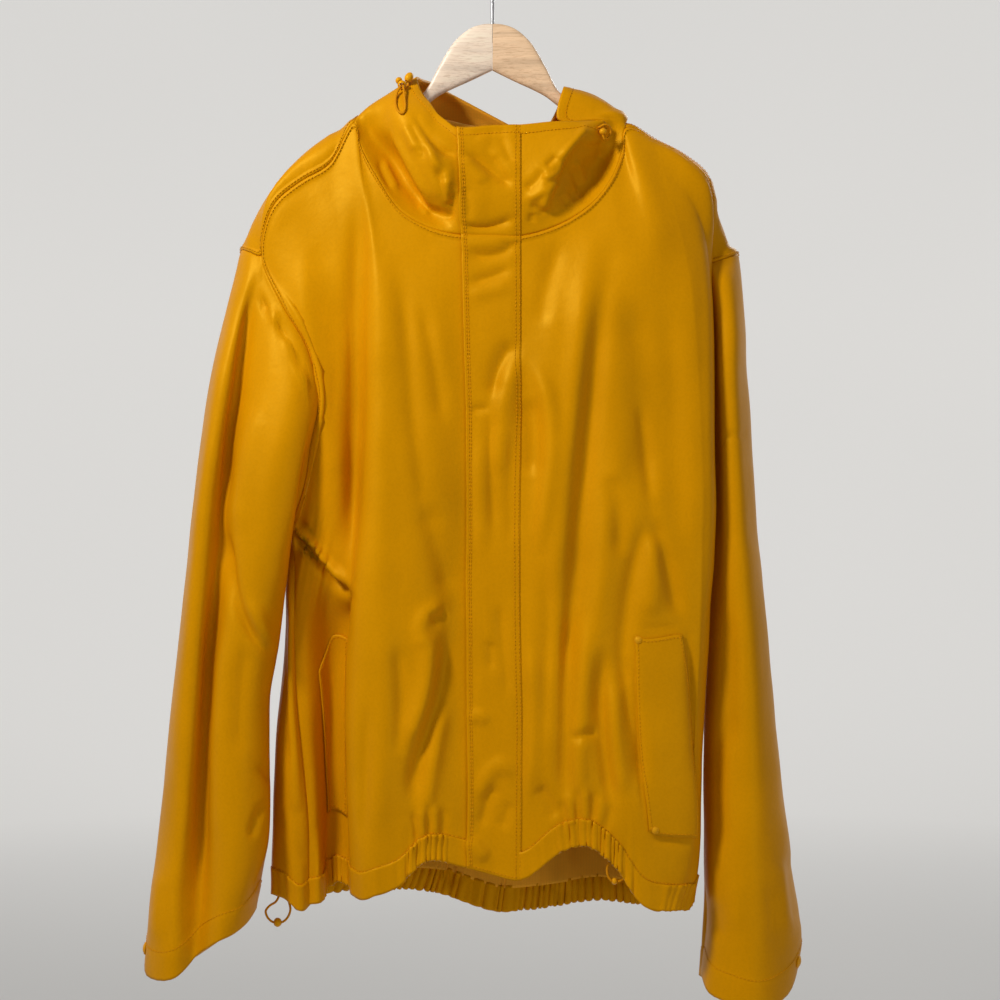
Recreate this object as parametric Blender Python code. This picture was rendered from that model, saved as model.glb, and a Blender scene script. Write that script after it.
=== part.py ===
"""Hooded raincoat of coated cloth, hanging on a wooden hanger with a wire hook.

Each cut piece of the coat is a wall of its own, lofted through ribs: lines that run down the cloth
along its folds, from the top seam to the turned edge. Tables are in millimetres, the model in
metres. The origin is the point where the hook hangs, +Z is up and the front of the coat faces -Y.
"Right" and "left" are the wearer's, so the right sleeve lies towards -X.
"""
import math

import bmesh
import bpy
import numpy as np
from mathutils import Vector

MM = 0.001

# Cloth
CLOTH = 1.6              # thickness of the coated cloth
SEAM_GAP = 0.3           # between two pieces that are sewn together
SEAM_EASING = 2          # times that the normals are evened out along the seams
FACING_LEAST = 0.35      # least cosine between a point's normal and the triangles round it
FACING_STEPS = 40
LAID_GAP = 0.6           # between a panel and a piece that lies on it
HEM_BAND = 26.0          # turned hem and cuff
FACE_BAND = 9.0          # turned edge round the face opening of the hood
BAND_SHARES = [0.5, 1.0]
# Rows of points down a piece, as shares of its length above the turned edge
BODY_ROWS = [0, 0.018, 0.04, 0.07, 0.11, 0.16, 0.23, 0.31, 0.39, 0.47, 0.55, 0.63, 0.71, 0.8, 0.9, 1]
SLEEVE_ROWS = [0, 0.035, 0.08, 0.14, 0.21, 0.29, 0.37, 0.45, 0.54, 0.64, 0.76, 0.88, 1]
HOOD_ROWS = [0, 0.07, 0.14, 0.22, 0.31, 0.41, 0.5, 0.59, 0.69, 0.79, 0.88, 0.95, 1]

# Hanger
ARM_THICK = 10.0         # front to back
ARM_SWEEP = math.radians(5.0)    # the arms' tips lie forward of the hook
ARM_TILT = math.radians(0.3)     # the coat hangs a little lower on the wearer's left
HOOK_WIRE = 3.5
HOOK_RADIUS = 22.75      # of the wire's centre line
HOOK_FIT = 0.3           # clearance of the shank in its hole
SHANK_DEPTH = 18.0       # of the shank in the wood

ARM_POINTS = 14          # round a section of an arm
ARM_SQUARE = 0.75        # how square the section is: 1 is an ellipse
SHANK_TOP = 82.0         # depth of the wood's top below the hook
HOOK_NECK = -50.0        # where the shank starts to bend into the ring
# Outline of an arm: distance from the middle, top and bottom
ARM_OUTLINE = [(0.15, -82, -127), (10, -83, -132), (22, -87.5, -138), (37, -101, -145), (51, -124, -152.5),
               (65, -149, -163), (95, -166, -181), (129, -184.6, -202.6), (160, -200.4, -220.4),
               (179, -214.4, -235.4), (187, -223.4, -239.4), (190, -230.4, -237.4)]

# Studs: name, piece, rib, columns past the rib, row, radius, height
STUDS = [
    ("pocket_stud_top", "pocket_flap_left", None, 0.34, 0.16, 3.3, 1.6),
    ("pocket_stud_low", "pocket_flap_left", None, 0.34, 8.84, 3.3, 1.6),
    ("cuff_stud_right", "sleeve_right", "arm_back_d", 0.5, 12.7, 5.9, 2.6),
    ("cuff_stud_left", "sleeve_left", "arm_back_w", 0.6, 12.7, 5.9, 2.6),
]
STUD_GAP = 0.6
TURNED_SIDES = 12

# Drawcords: the route of each cord's centre line, whose ends stop just clear of the cloth
CORD = 2.3               # diameter
CORD_STEP = 2.6          # between the rings of a cord
CORDS = {
    "hood_cord_right": [
        (-89.5, -20.5, -139.5), (-88.6, -22.5, -141.2), (-86.75, -26.8, -144.8), (-86.75, -31.6, -148.4),
        (-90.2, -34.4, -156.0), (-90.6, -41.9, -168.0), (-87.5, -46.9, -175.3), (-84.0, -48.3, -177.0),
        (-81.8, -46.9, -173.2), (-82.4, -39.2, -161.0), (-84.05, -31.6, -148.4), (-84.05, -26.8, -144.8),
        (-81.4, -25.1, -143.1), (-79.1, -23.5, -138.5), (-77.4, -22.3, -135.0)],
    "hood_cord_left": [
        (99.7, -39.2, -188.9), (101.0, -41.2, -188.5), (105.5, -43.0, -186.8), (110.0, -41.0, -188.5),
        (111.3, -38.2, -193.0), (109.2, -38.2, -198.2), (105.6, -40.6, -199.8), (104.0, -41.5, -196.8),
        (104.0, -41.5, -189.6)],
    "hem_cord_right": [
        (-204.1, -13.3, -906.5), (-203.0, -11.6, -906.8), (-203.6, -10.2, -911.0), (-204.0, -9.5, -917.0),
        (-207.0, -9.5, -922.5), (-212.5, -10.0, -926.0), (-216.3, -10.5, -931.0), (-214.3, -10.5, -937.5),
        (-209.6, -10.5, -941.5), (-205.0, -10.5, -941.9), (-200.4, -10.5, -941.5), (-195.7, -10.5, -937.5),
        (-192.8, -11.0, -930.0), (-194.3, -12.5, -920.5), (-196.0, -14.5, -913.0), (-195.9, -17.0, -908.8),
        (-196.9, -18.8, -908.5)],
    "hem_cord_left": [
        (111.8, -84.7, -869.3), (111.3, -82.0, -869.5), (108.5, -79.0, -872.0), (106.0, -78.0, -877.0),
        (106.4, -78.0, -884.5), (109.6, -78.0, -889.3), (112.6, -78.0, -889.9), (115.6, -78.0, -890.3),
        (120.0, -78.0, -888.5), (121.5, -79.0, -884.5), (120.6, -81.0, -881.0), (120.3, -83.4, -880.6)],
}
# Beads and the lock on the cords: name, middle, axis, radius, half length, radius of the hole
BEADS = [
    ("hood_bead_right_a", (-88.6, -22.5, -141.2), (-0.31, 0.73, 0.61), 3.4, 3.0, 1.6),
    ("hood_bead_right_b", (-79.1, -23.5, -138.5), (0.43, 0.3, 0.85), 4.0, 5.4, 1.7),
    ("hood_lock_right", (-85.4, -29.2, -146.6), (0, 0.8, 0.6), 4.4, 3.0, 2.9),
    ("hood_bead_left", (104.0, -41.5, -193.0), (0, 0, 1), 3.6, 3.2, 1.6),
    ("hem_bead_right", (-205.0, -10.5, -941.8), (1, 0, 0), 4.4, 4.0, 1.9),
    ("hem_bead_left", (112.6, -78.0, -889.8), (1, 0, -0.12), 3.2, 2.8, 1.7),
]

# Pocket flaps, as (rib, row) stations of their corners on the front: top inner, top outer, bottom
# inner and bottom outer; then their columns and rows
POCKET_FLAPS = {
    "left": (((4.8, 11.6), (6.0, 11.6), (5.05, 14.35), (6.65, 14.4)), 4, 9),
    "right": (((7.2, 11.7), (12.2, 10.9), (7.05, 14.4), (10.65, 14.2)), 8, 9),
}

# Colours are linear RGB; each material also has a roughness and a metallic value
MATERIALS = {
    "coated_cloth": ((0.62, 0.265, 0.004), 0.42, 0.0),
    "cord": ((0.55, 0.20, 0.006), 0.75, 0.0),
    "plastic": ((0.60, 0.19, 0.006), 0.35, 0.0),
    "stud": ((0.58, 0.24, 0.01), 0.3, 0.0),
    "wood": ((0.70, 0.45, 0.24), 0.45, 0.0),
    "steel": ((0.55, 0.55, 0.56), 0.3, 1.0),
}

# ---- ribs: name, columns to the next rib, points (x, y, z) from the top seam down -----------------

# Wearer's right front, from the front edge round the deep fold to the side seam
FRONT_RIGHT = [
    ("zip", 2, [(-1, -50, -292), (-2, -58, -381), (-2, -62, -446), (-1, -68, -632), (-1, -72, -779),
        (1, -74, -885)]),
    ("under_flap", 2, [(-29, -50, -291), (-27, -57, -381), (-25, -61, -446), (-24, -68, -632),
        (-23, -73, -779), (-24, -77, -878)]),
    ("breast", 2, [(-58, -48, -284), (-52, -62, -381), (-50, -67, -446), (-52, -78, -631),
        (-57, -84, -778), (-61, -84, -872)]),
    ("mid_breast", 2, [(-87, -45, -267), (-78, -62, -372), (-78, -70, -446), (-81, -84, -631),
        (-86, -90, -777), (-87, -88, -894)]),
    ("crest_in", 2, [(-110, -38, -233), (-101, -60, -353), (-102, -68, -446), (-105, -84, -631),
        (-110, -90, -777), (-108, -90, -902)]),
    ("crest", 2, [(-125, -30, -204), (-115, -50, -286), (-116, -62, -446), (-120, -68, -539),
        (-123, -79, -631), (-126, -85, -778), (-118, -86, -906)]),
    ("neck_r", 2, [(-131, -25, -182), (-126, -42, -257), (-127, -46, -445), (-129, -42, -539),
        (-129, -62, -624), (-134, -68, -698), (-134, -72, -779), (-128, -74, -904)]),
    ("mid_r", 1, [(-154, -27, -221), (-142, -42, -304), (-134, -43, -379), (-131, -42, -445),
        (-133, -38, -539), (-134, -44, -623), (-134, -20, -649), (-136, -10, -730), (-137, -8, -864),
        (-136, -12, -908)]),
    ("slope_r", 1, [(-182, -27, -238), (-159, -43, -316), (-142, -44, -379), (-135, -44, -445),
        (-137, -40, -539), (-140, -42, -617), (-140, -18, -643), (-142, -5, -730), (-143, -4, -865),
        (-142, -10, -906)]),
    ("fold_r", 1, [(-207, -29, -261), (-175, -43, -323), (-148, -45, -384), (-139, -46, -445),
        (-141, -42, -539), (-147, -41, -610), (-147, -16, -638), (-149, -2, -731), (-150, -3, -865),
        (-148, -8, -904)]),
    ("tip_r", 2, [(-218, -26, -307), (-188, -40, -341), (-162, -45, -377), (-148, -46, -411),
        (-143, -47, -445), (-144, -45, -492), (-147, -42, -539), (-154, -40, -603), (-154, -15, -631),
        (-156, -2, -731), (-156, -3, -865), (-153, -8, -908)]),
    ("arm_a", 1, [(-197, -40, -356), (-185, -43, -360), (-167, -45, -380), (-154, -46, -409),
        (-147, -46, -445), (-149, -44, -492), (-153, -42, -539), (-160, -39, -595), (-161, -14, -625),
        (-161, -6, -730), (-160, -6, -864), (-158, -10, -908)]),
    ("arm_b", 1, [(-174, -44, -395), (-164, -46, -399), (-156, -46, -418), (-152, -45, -445),
        (-153, -44, -492), (-159, -42, -539), (-167, -37, -588), (-167, -14, -621), (-166, -16, -729),
        (-162, -16, -843), (-161, -18, -917)]),
    ("arm_c", 1, [(-163, -46, -445), (-158, -47, -448), (-156, -46, -461), (-158, -45, -487),
        (-164, -42, -530), (-171, -38, -562), (-173, -34, -588), (-172, -20, -619), (-170, -26, -728),
        (-163, -26, -842), (-163, -24, -920)]),
    ("arm_d", 1, [(-170, -42, -483), (-166, -44, -489), (-167, -42, -515), (-170, -40, -539),
        (-178, -35, -572), (-178, -27, -605), (-175, -29, -671), (-174, -31, -728), (-165, -31, -841),
        (-166, -26, -921)]),
    ("arm_e", 1, [(-176, -37, -522), (-174, -38, -530), (-176, -37, -549), (-181, -34, -572),
        (-184, -29, -600), (-181, -30, -671), (-179, -30, -728), (-168, -29, -841), (-169, -24, -922)]),
    ("side_seam", 0, [(-190, -28, -565), (-189, -28, -575), (-187, -26, -596), (-187, -27, -671),
        (-185, -28, -728), (-174, -27, -842), (-174, -22, -923)]),
]

# Wearer's left front, from the front edge to the side seam
FRONT_LEFT = [
    ("zip", 2, [(-1, -50, -292), (-2, -58, -381), (-2, -62, -446), (-1, -68, -632), (-1, -72, -779),
        (1, -74, -885)]),
    ("flap_seam", 2, [(27, -50, -292), (27, -60, -381), (27, -64, -446), (26, -70, -631),
        (28, -74, -751), (27, -78, -889)]),
    ("breast", 2, [(63, -48, -281), (59, -66, -381), (58, -70, -446), (56, -76, -631), (55, -80, -760),
        (64, -82, -863)]),
    ("bust", 2, [(92, -44, -262), (92, -66, -353), (92, -68, -446), (88, -76, -631), (88, -80, -760),
        (87, -84, -858)]),
    ("mid", 2, [(111, -38, -238), (120, -64, -335), (124, -70, -446), (120, -78, -631),
        (118, -82, -760), (112, -86, -876)]),
    ("outer_breast", 2, [(123, -28, -208), (145, -60, -316), (150, -68, -446), (137, -77, -631),
        (137, -80, -723), (142, -84, -851), (141, -86, -913)]),
    ("neck_l", 2, [(127, -23, -186), (132, -32, -207), (148, -45, -253), (164, -56, -315),
        (176, -64, -446), (174, -72, -631), (178, -74, -724), (183, -73, -853), (166, -79, -918)]),
    ("mid_l", 1, [(156, -16, -198), (155, -23, -201), (157, -28, -212), (165, -38, -247),
        (181, -50, -314), (191, -60, -446), (193, -67, -594), (191, -68, -724), (189, -67, -854),
        (173, -74, -918)]),
    ("slope_l", 1, [(183, -18, -213), (182, -25, -216), (184, -30, -229), (195, -40, -285),
        (202, -56, -446), (203, -61, -595), (197, -62, -725), (193, -61, -855), (180, -68, -919)]),
    ("fold_l", 1, [(204, -19, -234), (205, -27, -247), (206, -38, -290), (208, -50, -445),
        (209, -54, -595), (201, -55, -725), (194, -54, -856), (185, -60, -913)]),
    ("tip_l", 1, [(205, -16, -312), (207, -26, -326), (208, -34, -360), (207, -38, -445),
        (206, -40, -595), (199, -42, -727), (191, -42, -858), (183, -50, -916)]),
    ("arm_a", 1, [(204, -16, -377), (200, -22, -385), (200, -25, -416), (199, -26, -520),
        (198, -26, -596), (193, -28, -728), (188, -29, -860), (181, -38, -918)]),
    ("arm_b", 1, [(200, -10, -472), (195, -14, -481), (194, -15, -529), (193, -14, -596),
        (189, -14, -729), (186, -15, -863), (181, -24, -921)]),
    ("arm_c", 1, [(197, -9, -539), (195, -10, -547), (192, -10, -568), (191, -9, -596), (189, -7, -730),
        (186, -10, -864), (181, -16, -923)]),
    ("side_seam", 0, [(196, 2, -568), (196, 2, -577), (192, 2, -598), (190, 3, -635), (189, 1, -731),
        (186, -2, -865), (181, -8, -923)]),
]

# Back: rib, columns to the next, share of the way across from right to left (None where the rib
# gives its whole length), points from the top seam down
BACK = [
    ("side_seam_r", 1, None, [(-190, -28, -565), (-189, -28, -575), (-187, -26, -596),
        (-187, -27, -671), (-185, -28, -728), (-174, -27, -842), (-174, -22, -923)]),
    ("ridge", 1, None, [(-194, -16, -550), (-193, -17, -559), (-191, -20, -577), (-192, -21, -596),
        (-192, -31, -671), (-192, -34, -727), (-184, -34, -841), (-181, -28, -928)]),
    ("ridge_out", 1, None, [(-199, -4, -535), (-196, -5, -544), (-194, -8, -568), (-195, -10, -596),
        (-198, -21, -672), (-200, -25, -728), (-197, -27, -842), (-195, -22, -918)]),
    ("side_r", 1, None, [(-204, 8, -518), (-199, 9, -528), (-196, 8, -558), (-196, 3, -597),
        (-199, -4, -673), (-205, -8, -749), (-209, -10, -844), (-210, -10, -915)]),
    ("arm_back_a", 1, 0.03, [(-220, 22, -442), (-214, 25, -453)]),
    ("arm_back_b", 1, 0.06, [(-234, 22, -364), (-227, 25, -375)]),
    ("arm_back_c", 1, 0.09, [(-240, 10, -315), (-231, 22, -333)]),
    ("arm_back_d", 1, 0.12, [(-240, -4, -300), (-240, 4, -296), (-235, 15, -309), (-224, 23, -335)]),
    ("arm_back_e", 2, 0.15, [(-231, -18, -303), (-235, -10, -287), (-236, 0, -280), (-229, 13, -293),
        (-212, 23, -330)]),
    ("tip_r", 1, 0.19, [(-218, -26, -307), (-225, -18, -275), (-225, -8, -256), (-222, 4, -254),
        (-213, 15, -273), (-199, 23, -308)]),
    ("fold_r", 1, 0.22, [(-207, -29, -261), (-211, -27, -246), (-211, -15, -235), (-208, -2, -236),
        (-203, 10, -249), (-194, 19, -277)]),
    ("slope_r", 1, 0.27, [(-182, -27, -238), (-182, -26, -222), (-183, -22, -212), (-183, -13, -207),
        (-182, 2, -210), (-179, 18, -248)]),
    ("mid_r", 2, 0.32, [(-154, -27, -221), (-154, -26, -205), (-154, -20, -196), (-155, -11, -191),
        (-154, 3, -196), (-152, 18, -239)]),
    ("neck_r", 1, 0.355, [(-131, -25, -182), (-132, -20, -178), (-133, -11, -176), (-133, 0, -177),
        (-133, 10, -188), (-130, 18, -224)]),
    ("neck_top_r", 2, 0.375, [(-128, -11, -174), (-128, -3, -174), (-128, 8, -186), (-127, 19, -221)]),
    ("nape_r", 1, 0.395, [(-120, 7, -172), (-119, 13, -186), (-117, 20, -221)]),
    ("nape_rm", 3, 0.415, [(-95, 13, -178), (-95, 18, -192), (-95, 21, -221)]),
    ("nape_rr", 2, 0.45, [(-65, 17, -179), (-66, 22, -209)]),
    ("nape", 2, 0.5, [(0, 22, -183), (0, 26, -218)]),
    ("nape_ll", 3, 0.56, [(62, 18, -181), (65, 24, -213)]),
    ("nape_lm", 1, 0.58, [(94, 13, -180), (94, 18, -195), (95, 22, -223)]),
    ("nape_l", 2, 0.6, [(115, 8, -177), (115, 14, -191), (115, 20, -224)]),
    ("neck_top_l", 1, 0.625, [(124, -10, -177), (124, -2, -177), (125, 8, -188), (125, 19, -224)]),
    ("neck_l", 2, 0.645, [(127, -23, -186), (128, -18, -182), (129, -10, -180), (130, 1, -182),
        (132, 10, -191), (134, 18, -224)]),
    ("mid_l", 1, 0.68, [(156, -16, -198), (156, -9, -197), (157, 4, -202), (158, 17, -237)]),
    ("slope_l", 1, 0.73, [(183, -18, -213), (184, -10, -212), (185, 3, -218), (185, 17, -253)]),
    ("fold_l", 1, 0.78, [(204, -19, -234), (209, -12, -236), (213, 0, -241), (207, 18, -277)]),
    ("tip_l", 1, 0.81, [(205, -16, -312), (214, -15, -302), (219, -9, -284), (220, 2, -277),
        (214, 14, -291), (195, 22, -323)]),
    ("arm_back_v", 1, 0.84, [(218, -17, -310), (224, -13, -300), (227, -4, -291), (226, 7, -294),
        (216, 16, -312), (198, 22, -342)]),
    ("arm_back_w", 1, 0.87, [(230, -10, -305), (232, -4, -299), (231, 4, -300), (225, 13, -313),
        (207, 21, -343)]),
    ("arm_back_x", 1, 0.9, [(235, -1, -303), (234, 7, -305), (227, 15, -320), (210, 22, -352)]),
    ("arm_back_y", 1, 0.93, [(231, 14, -331), (222, 21, -357)]),
    ("arm_back_z", 1, 0.955, [(219, 22, -413), (211, 26, -428)]),
    ("arm_back_zz", 1, 0.972, [(207, 20, -510), (204, 22, -521)]),
    ("arm_back_zy", 1, 0.987, [(202, 13, -550), (200, 15, -561), (195, 18, -582)]),
    ("side_seam_l", 0, None, [(196, 2, -568), (196, 2, -577), (192, 2, -598), (190, 3, -635),
        (189, 1, -731), (186, -2, -865), (181, -8, -923)]),
]

# Levels of the back below its shaped top: height, wearer's right and left edge (x), depth (y) in the
# middle and at the edges
BACK_LEVELS = [
    (-420, -212, 204, 34, 26),
    (-560, -206, 200, 38, 26),
    (-720, -204, 194, 38, 24),
    (-840, -206, 188, 32, 18),
]
# Lower edge of the back, from the wearer's right to the left
BACK_HEM = [(-203, 14, -920), (-178, 22, -922), (-140, 26, -920), (-100, 24, -918), (-50, 24, -922),
            (0, 22, -938), (48, 22, -936), (100, 22, -928), (148, 18, -932), (182, 4, -926)]

# Sleeves: rings that close on themselves, from the underarm seam round the front
SLEEVE_RIGHT = [
    ("underarm", 1, [(-190, -28, -565), (-201, -23, -570), (-210, -10, -585), (-214, 0, -616),
        (-215, 5, -647), (-216, 4, -688), (-218, 0, -731), (-219, -8, -864), (-224, -14, -913),
        (-229, -16, -929)]),
    ("arm_e", 1, [(-176, -37, -522), (-183, -43, -529), (-189, -46, -558), (-195, -34, -605),
        (-199, -28, -633), (-203, -25, -676), (-211, -26, -728), (-212, -30, -860), (-221, -30, -898),
        (-224, -30, -924)]),
    ("arm_d", 1, [(-170, -42, -483), (-177, -54, -502), (-186, -56, -559), (-195, -48, -623),
        (-203, -45, -680), (-212, -46, -731), (-213, -50, -857), (-225, -50, -904), (-230, -48, -934)]),
    ("arm_c", 1, [(-163, -46, -445), (-172, -58, -470), (-193, -64, -567), (-205, -62, -623),
        (-214, -59, -678), (-222, -58, -730), (-225, -62, -855), (-234, -62, -911), (-242, -60, -943)]),
    ("arm_b", 1, [(-174, -44, -395), (-184, -62, -441), (-206, -69, -520), (-217, -68, -576),
        (-223, -66, -622), (-231, -64, -678), (-236, -64, -729), (-239, -66, -854), (-247, -66, -910),
        (-253, -64, -948)]),
    ("arm_a", 2, [(-197, -40, -356), (-209, -55, -432), (-223, -61, -500), (-234, -61, -548),
        (-242, -60, -632), (-252, -58, -725), (-257, -58, -855), (-259, -60, -916), (-262, -60, -954)]),
    ("tip_r", 2, [(-218, -26, -307), (-222, -31, -336), (-241, -36, -431), (-251, -38, -499),
        (-255, -38, -545), (-260, -38, -622), (-268, -40, -727), (-273, -40, -858), (-275, -42, -925),
        (-278, -46, -967)]),
    ("arm_back_e", 1, [(-231, -18, -303), (-233, -28, -334), (-252, -42, -431), (-263, -48, -500),
        (-269, -50, -545), (-275, -50, -621), (-282, -52, -726), (-291, -54, -856), (-299, -56, -922),
        (-298, -58, -985)]),
    ("arm_back_d", 1, [(-240, -4, -300), (-246, -8, -331), (-265, -16, -429), (-275, -22, -499),
        (-281, -24, -546), (-288, -26, -622), (-299, -28, -728), (-314, -32, -860), (-321, -36, -926),
        (-324, -38, -986)]),
    ("arm_back_c", 1, [(-240, 10, -315), (-247, 16, -345), (-268, 17, -428), (-278, 14, -498),
        (-284, 12, -546), (-292, 8, -624), (-303, 4, -731), (-317, -4, -865), (-324, -8, -932),
        (-328, -12, -973)]),
    ("arm_back_b", 1, [(-234, 22, -364), (-251, 38, -426), (-264, 42, -509), (-272, 42, -559),
        (-279, 40, -627), (-290, 36, -734), (-304, 26, -870), (-309, 22, -938), (-314, 18, -983)]),
    ("arm_back_a", 1, [(-220, 22, -442), (-236, 44, -485), (-244, 50, -539), (-248, 52, -578),
        (-254, 52, -637), (-264, 48, -736), (-277, 38, -872), (-284, 32, -940), (-287, 28, -972)]),
    ("side_r", 1, [(-204, 8, -518), (-214, 20, -526), (-221, 34, -551), (-226, 41, -583),
        (-230, 43, -637), (-236, 41, -696), (-241, 36, -744), (-248, 25, -869), (-253, 18, -926),
        (-256, 14, -955)]),
    ("ridge_out", 1, [(-199, -4, -535), (-208, 6, -543), (-217, 20, -568), (-221, 28, -597),
        (-224, 32, -646), (-228, 29, -705), (-232, 23, -753), (-234, 14, -868), (-240, 8, -918),
        (-243, 4, -943)]),
    ("ridge", 1, [(-194, -16, -550), (-204, -8, -557), (-213, 6, -579), (-217, 16, -611),
        (-219, 19, -650), (-221, 18, -694), (-224, 13, -732), (-227, 4, -866), (-232, -2, -916),
        (-235, -4, -935)]),
]

# Wearer's left sleeve, likewise
SLEEVE_LEFT = [
    ("underarm", 1, [(196, 2, -568), (203, 6, -575), (207, 10, -611), (208, 10, -655), (205, 6, -731),
        (203, -4, -826), (203, -15, -920), (197, -20, -990)]),
    ("arm_c", 1, [(197, -9, -539), (204, -10, -546), (208, -6, -596), (207, -6, -673), (204, -12, -768),
        (203, -20, -881), (205, -22, -936), (198, -26, -989)]),
    ("arm_b", 1, [(200, -10, -472), (206, -13, -483), (208, -15, -539), (207, -16, -596),
        (205, -18, -672), (202, -22, -767), (202, -27, -880), (204, -30, -936), (198, -34, -987)]),
    ("arm_a", 1, [(204, -16, -377), (210, -22, -388), (213, -29, -444), (214, -34, -520),
        (214, -38, -595), (211, -40, -689), (207, -43, -783), (206, -50, -876), (207, -52, -941),
        (203, -54, -999)]),
    ("tip_l", 1, [(205, -16, -312), (211, -30, -331), (216, -37, -369), (220, -43, -464),
        (222, -47, -539), (223, -49, -595), (224, -52, -688), (223, -56, -781), (224, -62, -873),
        (224, -64, -947), (224, -66, -1006)]),
    ("arm_back_v", 1, [(218, -17, -310), (223, -30, -333), (227, -38, -374), (230, -44, -464),
        (233, -48, -539), (234, -50, -595), (240, -54, -688), (243, -58, -781), (246, -64, -873),
        (247, -66, -947), (247, -68, -1011)]),
    ("arm_back_w", 1, [(230, -10, -305), (234, -17, -331), (238, -21, -378), (244, -26, -463),
        (249, -30, -539), (251, -31, -596), (258, -35, -690), (265, -39, -783), (274, -43, -877),
        (279, -45, -942), (275, -47, -1002)]),
    ("arm_back_x", 1, [(235, -1, -303), (238, 1, -328), (243, 2, -376), (250, 1, -462), (254, -2, -539),
        (257, -4, -596), (264, -8, -692), (273, -11, -787), (285, -15, -882), (294, -17, -953),
        (289, -19, -984)]),
    ("arm_back_y", 1, [(231, 14, -331), (238, 22, -345), (244, 29, -393), (249, 33, -490),
        (253, 32, -558), (257, 30, -636), (264, 26, -733), (275, 20, -830), (286, 14, -916),
        (290, 8, -987)]),
    ("arm_back_z", 1, [(219, 22, -413), (228, 33, -424), (234, 42, -470), (236, 46, -568),
        (237, 46, -637), (241, 42, -735), (246, 36, -832), (251, 28, -928), (252, 20, -1014)]),
    ("arm_back_zz", 1, [(207, 20, -510), (215, 32, -520), (219, 42, -568), (219, 44, -637),
        (220, 40, -735), (222, 32, -832), (222, 22, -927), (219, 14, -1008)]),
    ("arm_back_zy", 1, [(202, 13, -550), (210, 22, -558), (214, 32, -597), (214, 33, -656),
        (213, 28, -734), (213, 18, -830), (213, 8, -924), (209, -1, -1001)]),
]

# Hood halves, from the front edge to the centre back seam, and up from the neckline
HOOD_RIGHT = [
    ("zip", 2, [(-1, -50, -292), (-1, -54, -259), (-1, -52, -221), (-1, -48, -189)]),
    ("under_flap", 2, [(-29, -50, -291), (-31, -56, -259), (-32, -56, -222), (-33, -49, -191)]),
    ("breast", 2, [(-58, -48, -284), (-51, -40, -270), (-46, -52, -264), (-43, -62, -247),
        (-41, -56, -213), (-43, -46, -184)]),
    ("mid_breast", 2, [(-87, -45, -267), (-75, -32, -250), (-66, -50, -245), (-58, -61, -223),
        (-53, -50, -193), (-51, -42, -177)]),
    ("crest_in", 2, [(-110, -38, -233), (-97, -22, -215), (-86, -44, -210), (-75, -53, -193),
        (-64, -44, -175), (-59, -34, -165)]),
    ("crest", 2, [(-125, -30, -204), (-116, -21, -190), (-104, -32, -184), (-91, -40, -170),
        (-76, -34, -160), (-66, -26, -155)]),
    ("neck_r", 1, [(-131, -25, -182), (-126, -20, -175), (-118, -22, -168), (-106, -24, -160),
        (-90, -19, -148), (-72, -12, -137)]),
    ("neck_top_r", 2, [(-128, -11, -174), (-119, -5, -166), (-105, 1, -157), (-90, 6, -149),
        (-66, 8, -135)]),
    ("nape_r", 1, [(-120, 7, -172), (-112, 16, -162), (-98, 22, -152), (-80, 25, -142), (-58, 28, -134)]),
    ("nape_rm", 3, [(-95, 13, -178), (-98, 22, -170), (-94, 29, -160), (-84, 33, -150), (-70, 38, -142),
        (-50, 43, -136)]),
    ("nape_rr", 2, [(-65, 17, -179), (-64, 26, -167), (-63, 33, -170), (-62, 39, -200), (-61, 42, -280),
        (-58, 60, -338), (-55, 80, -290), (-51, 81, -200), (-43, 70, -150), (-37, 60, -140)]),
    ("nape", 0, [(0, 22, -183), (0, 32, -177), (1, 41, -182), (2, 45, -240), (2, 48, -350),
        (2, 67, -425), (2, 88, -350), (2, 88, -240), (10, 80, -180), (18, 72, -167)]),
]

# Wearer's left half, likewise
HOOD_LEFT = [
    ("zip", 2, [(-1, -50, -292), (-1, -54, -259), (-1, -52, -221), (-1, -48, -189)]),
    ("flap_seam", 2, [(27, -50, -292), (27, -56, -259), (27, -56, -222), (27, -48, -188)]),
    ("breast", 2, [(63, -48, -281), (60, -48, -269), (56, -56, -257), (53, -61, -240), (54, -57, -213),
        (56, -47, -185)]),
    ("bust", 2, [(92, -44, -262), (84, -30, -244), (76, -38, -233), (71, -56, -220), (74, -55, -203),
        (79, -43, -184)]),
    ("mid", 2, [(111, -38, -238), (101, -20, -218), (93, -34, -209), (88, -48, -204), (88, -49, -195),
        (90, -39, -183)]),
    ("outer_breast", 2, [(123, -28, -208), (115, -23, -198), (110, -24, -190), (108, -30, -186),
        (104, -35, -182)]),
    ("neck_l", 1, [(127, -23, -186), (121, -24, -182), (114, -25, -180), (106, -28, -180),
        (92, -28, -182)]),
    ("neck_top_l", 2, [(124, -10, -177), (128, -13, -175), (125, -20, -174), (113, -25, -172),
        (90, -27, -176), (62, -27, -179)]),
    ("nape_l", 1, [(115, 8, -177), (122, 5, -171), (124, -3, -168), (118, -11, -166), (109, -16, -162),
        (88, -18, -154), (67, -17, -148)]),
    ("nape_lm", 3, [(94, 13, -180), (99, 22, -172), (98, 26, -162), (90, 25, -153), (79, 16, -148),
        (69, 4, -147)]),
    ("nape_ll", 2, [(62, 18, -181), (64, 27, -176), (64, 33, -180), (63, 39, -205), (62, 42, -285),
        (59, 60, -342), (56, 80, -295), (54, 81, -215), (50, 72, -184), (46, 64, -175)]),
    ("nape", 0, [(0, 22, -183), (0, 32, -177), (1, 41, -182), (2, 45, -240), (2, 48, -350),
        (2, 67, -425), (2, 88, -350), (2, 88, -240), (10, 80, -180), (18, 72, -167)]),
]

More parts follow.
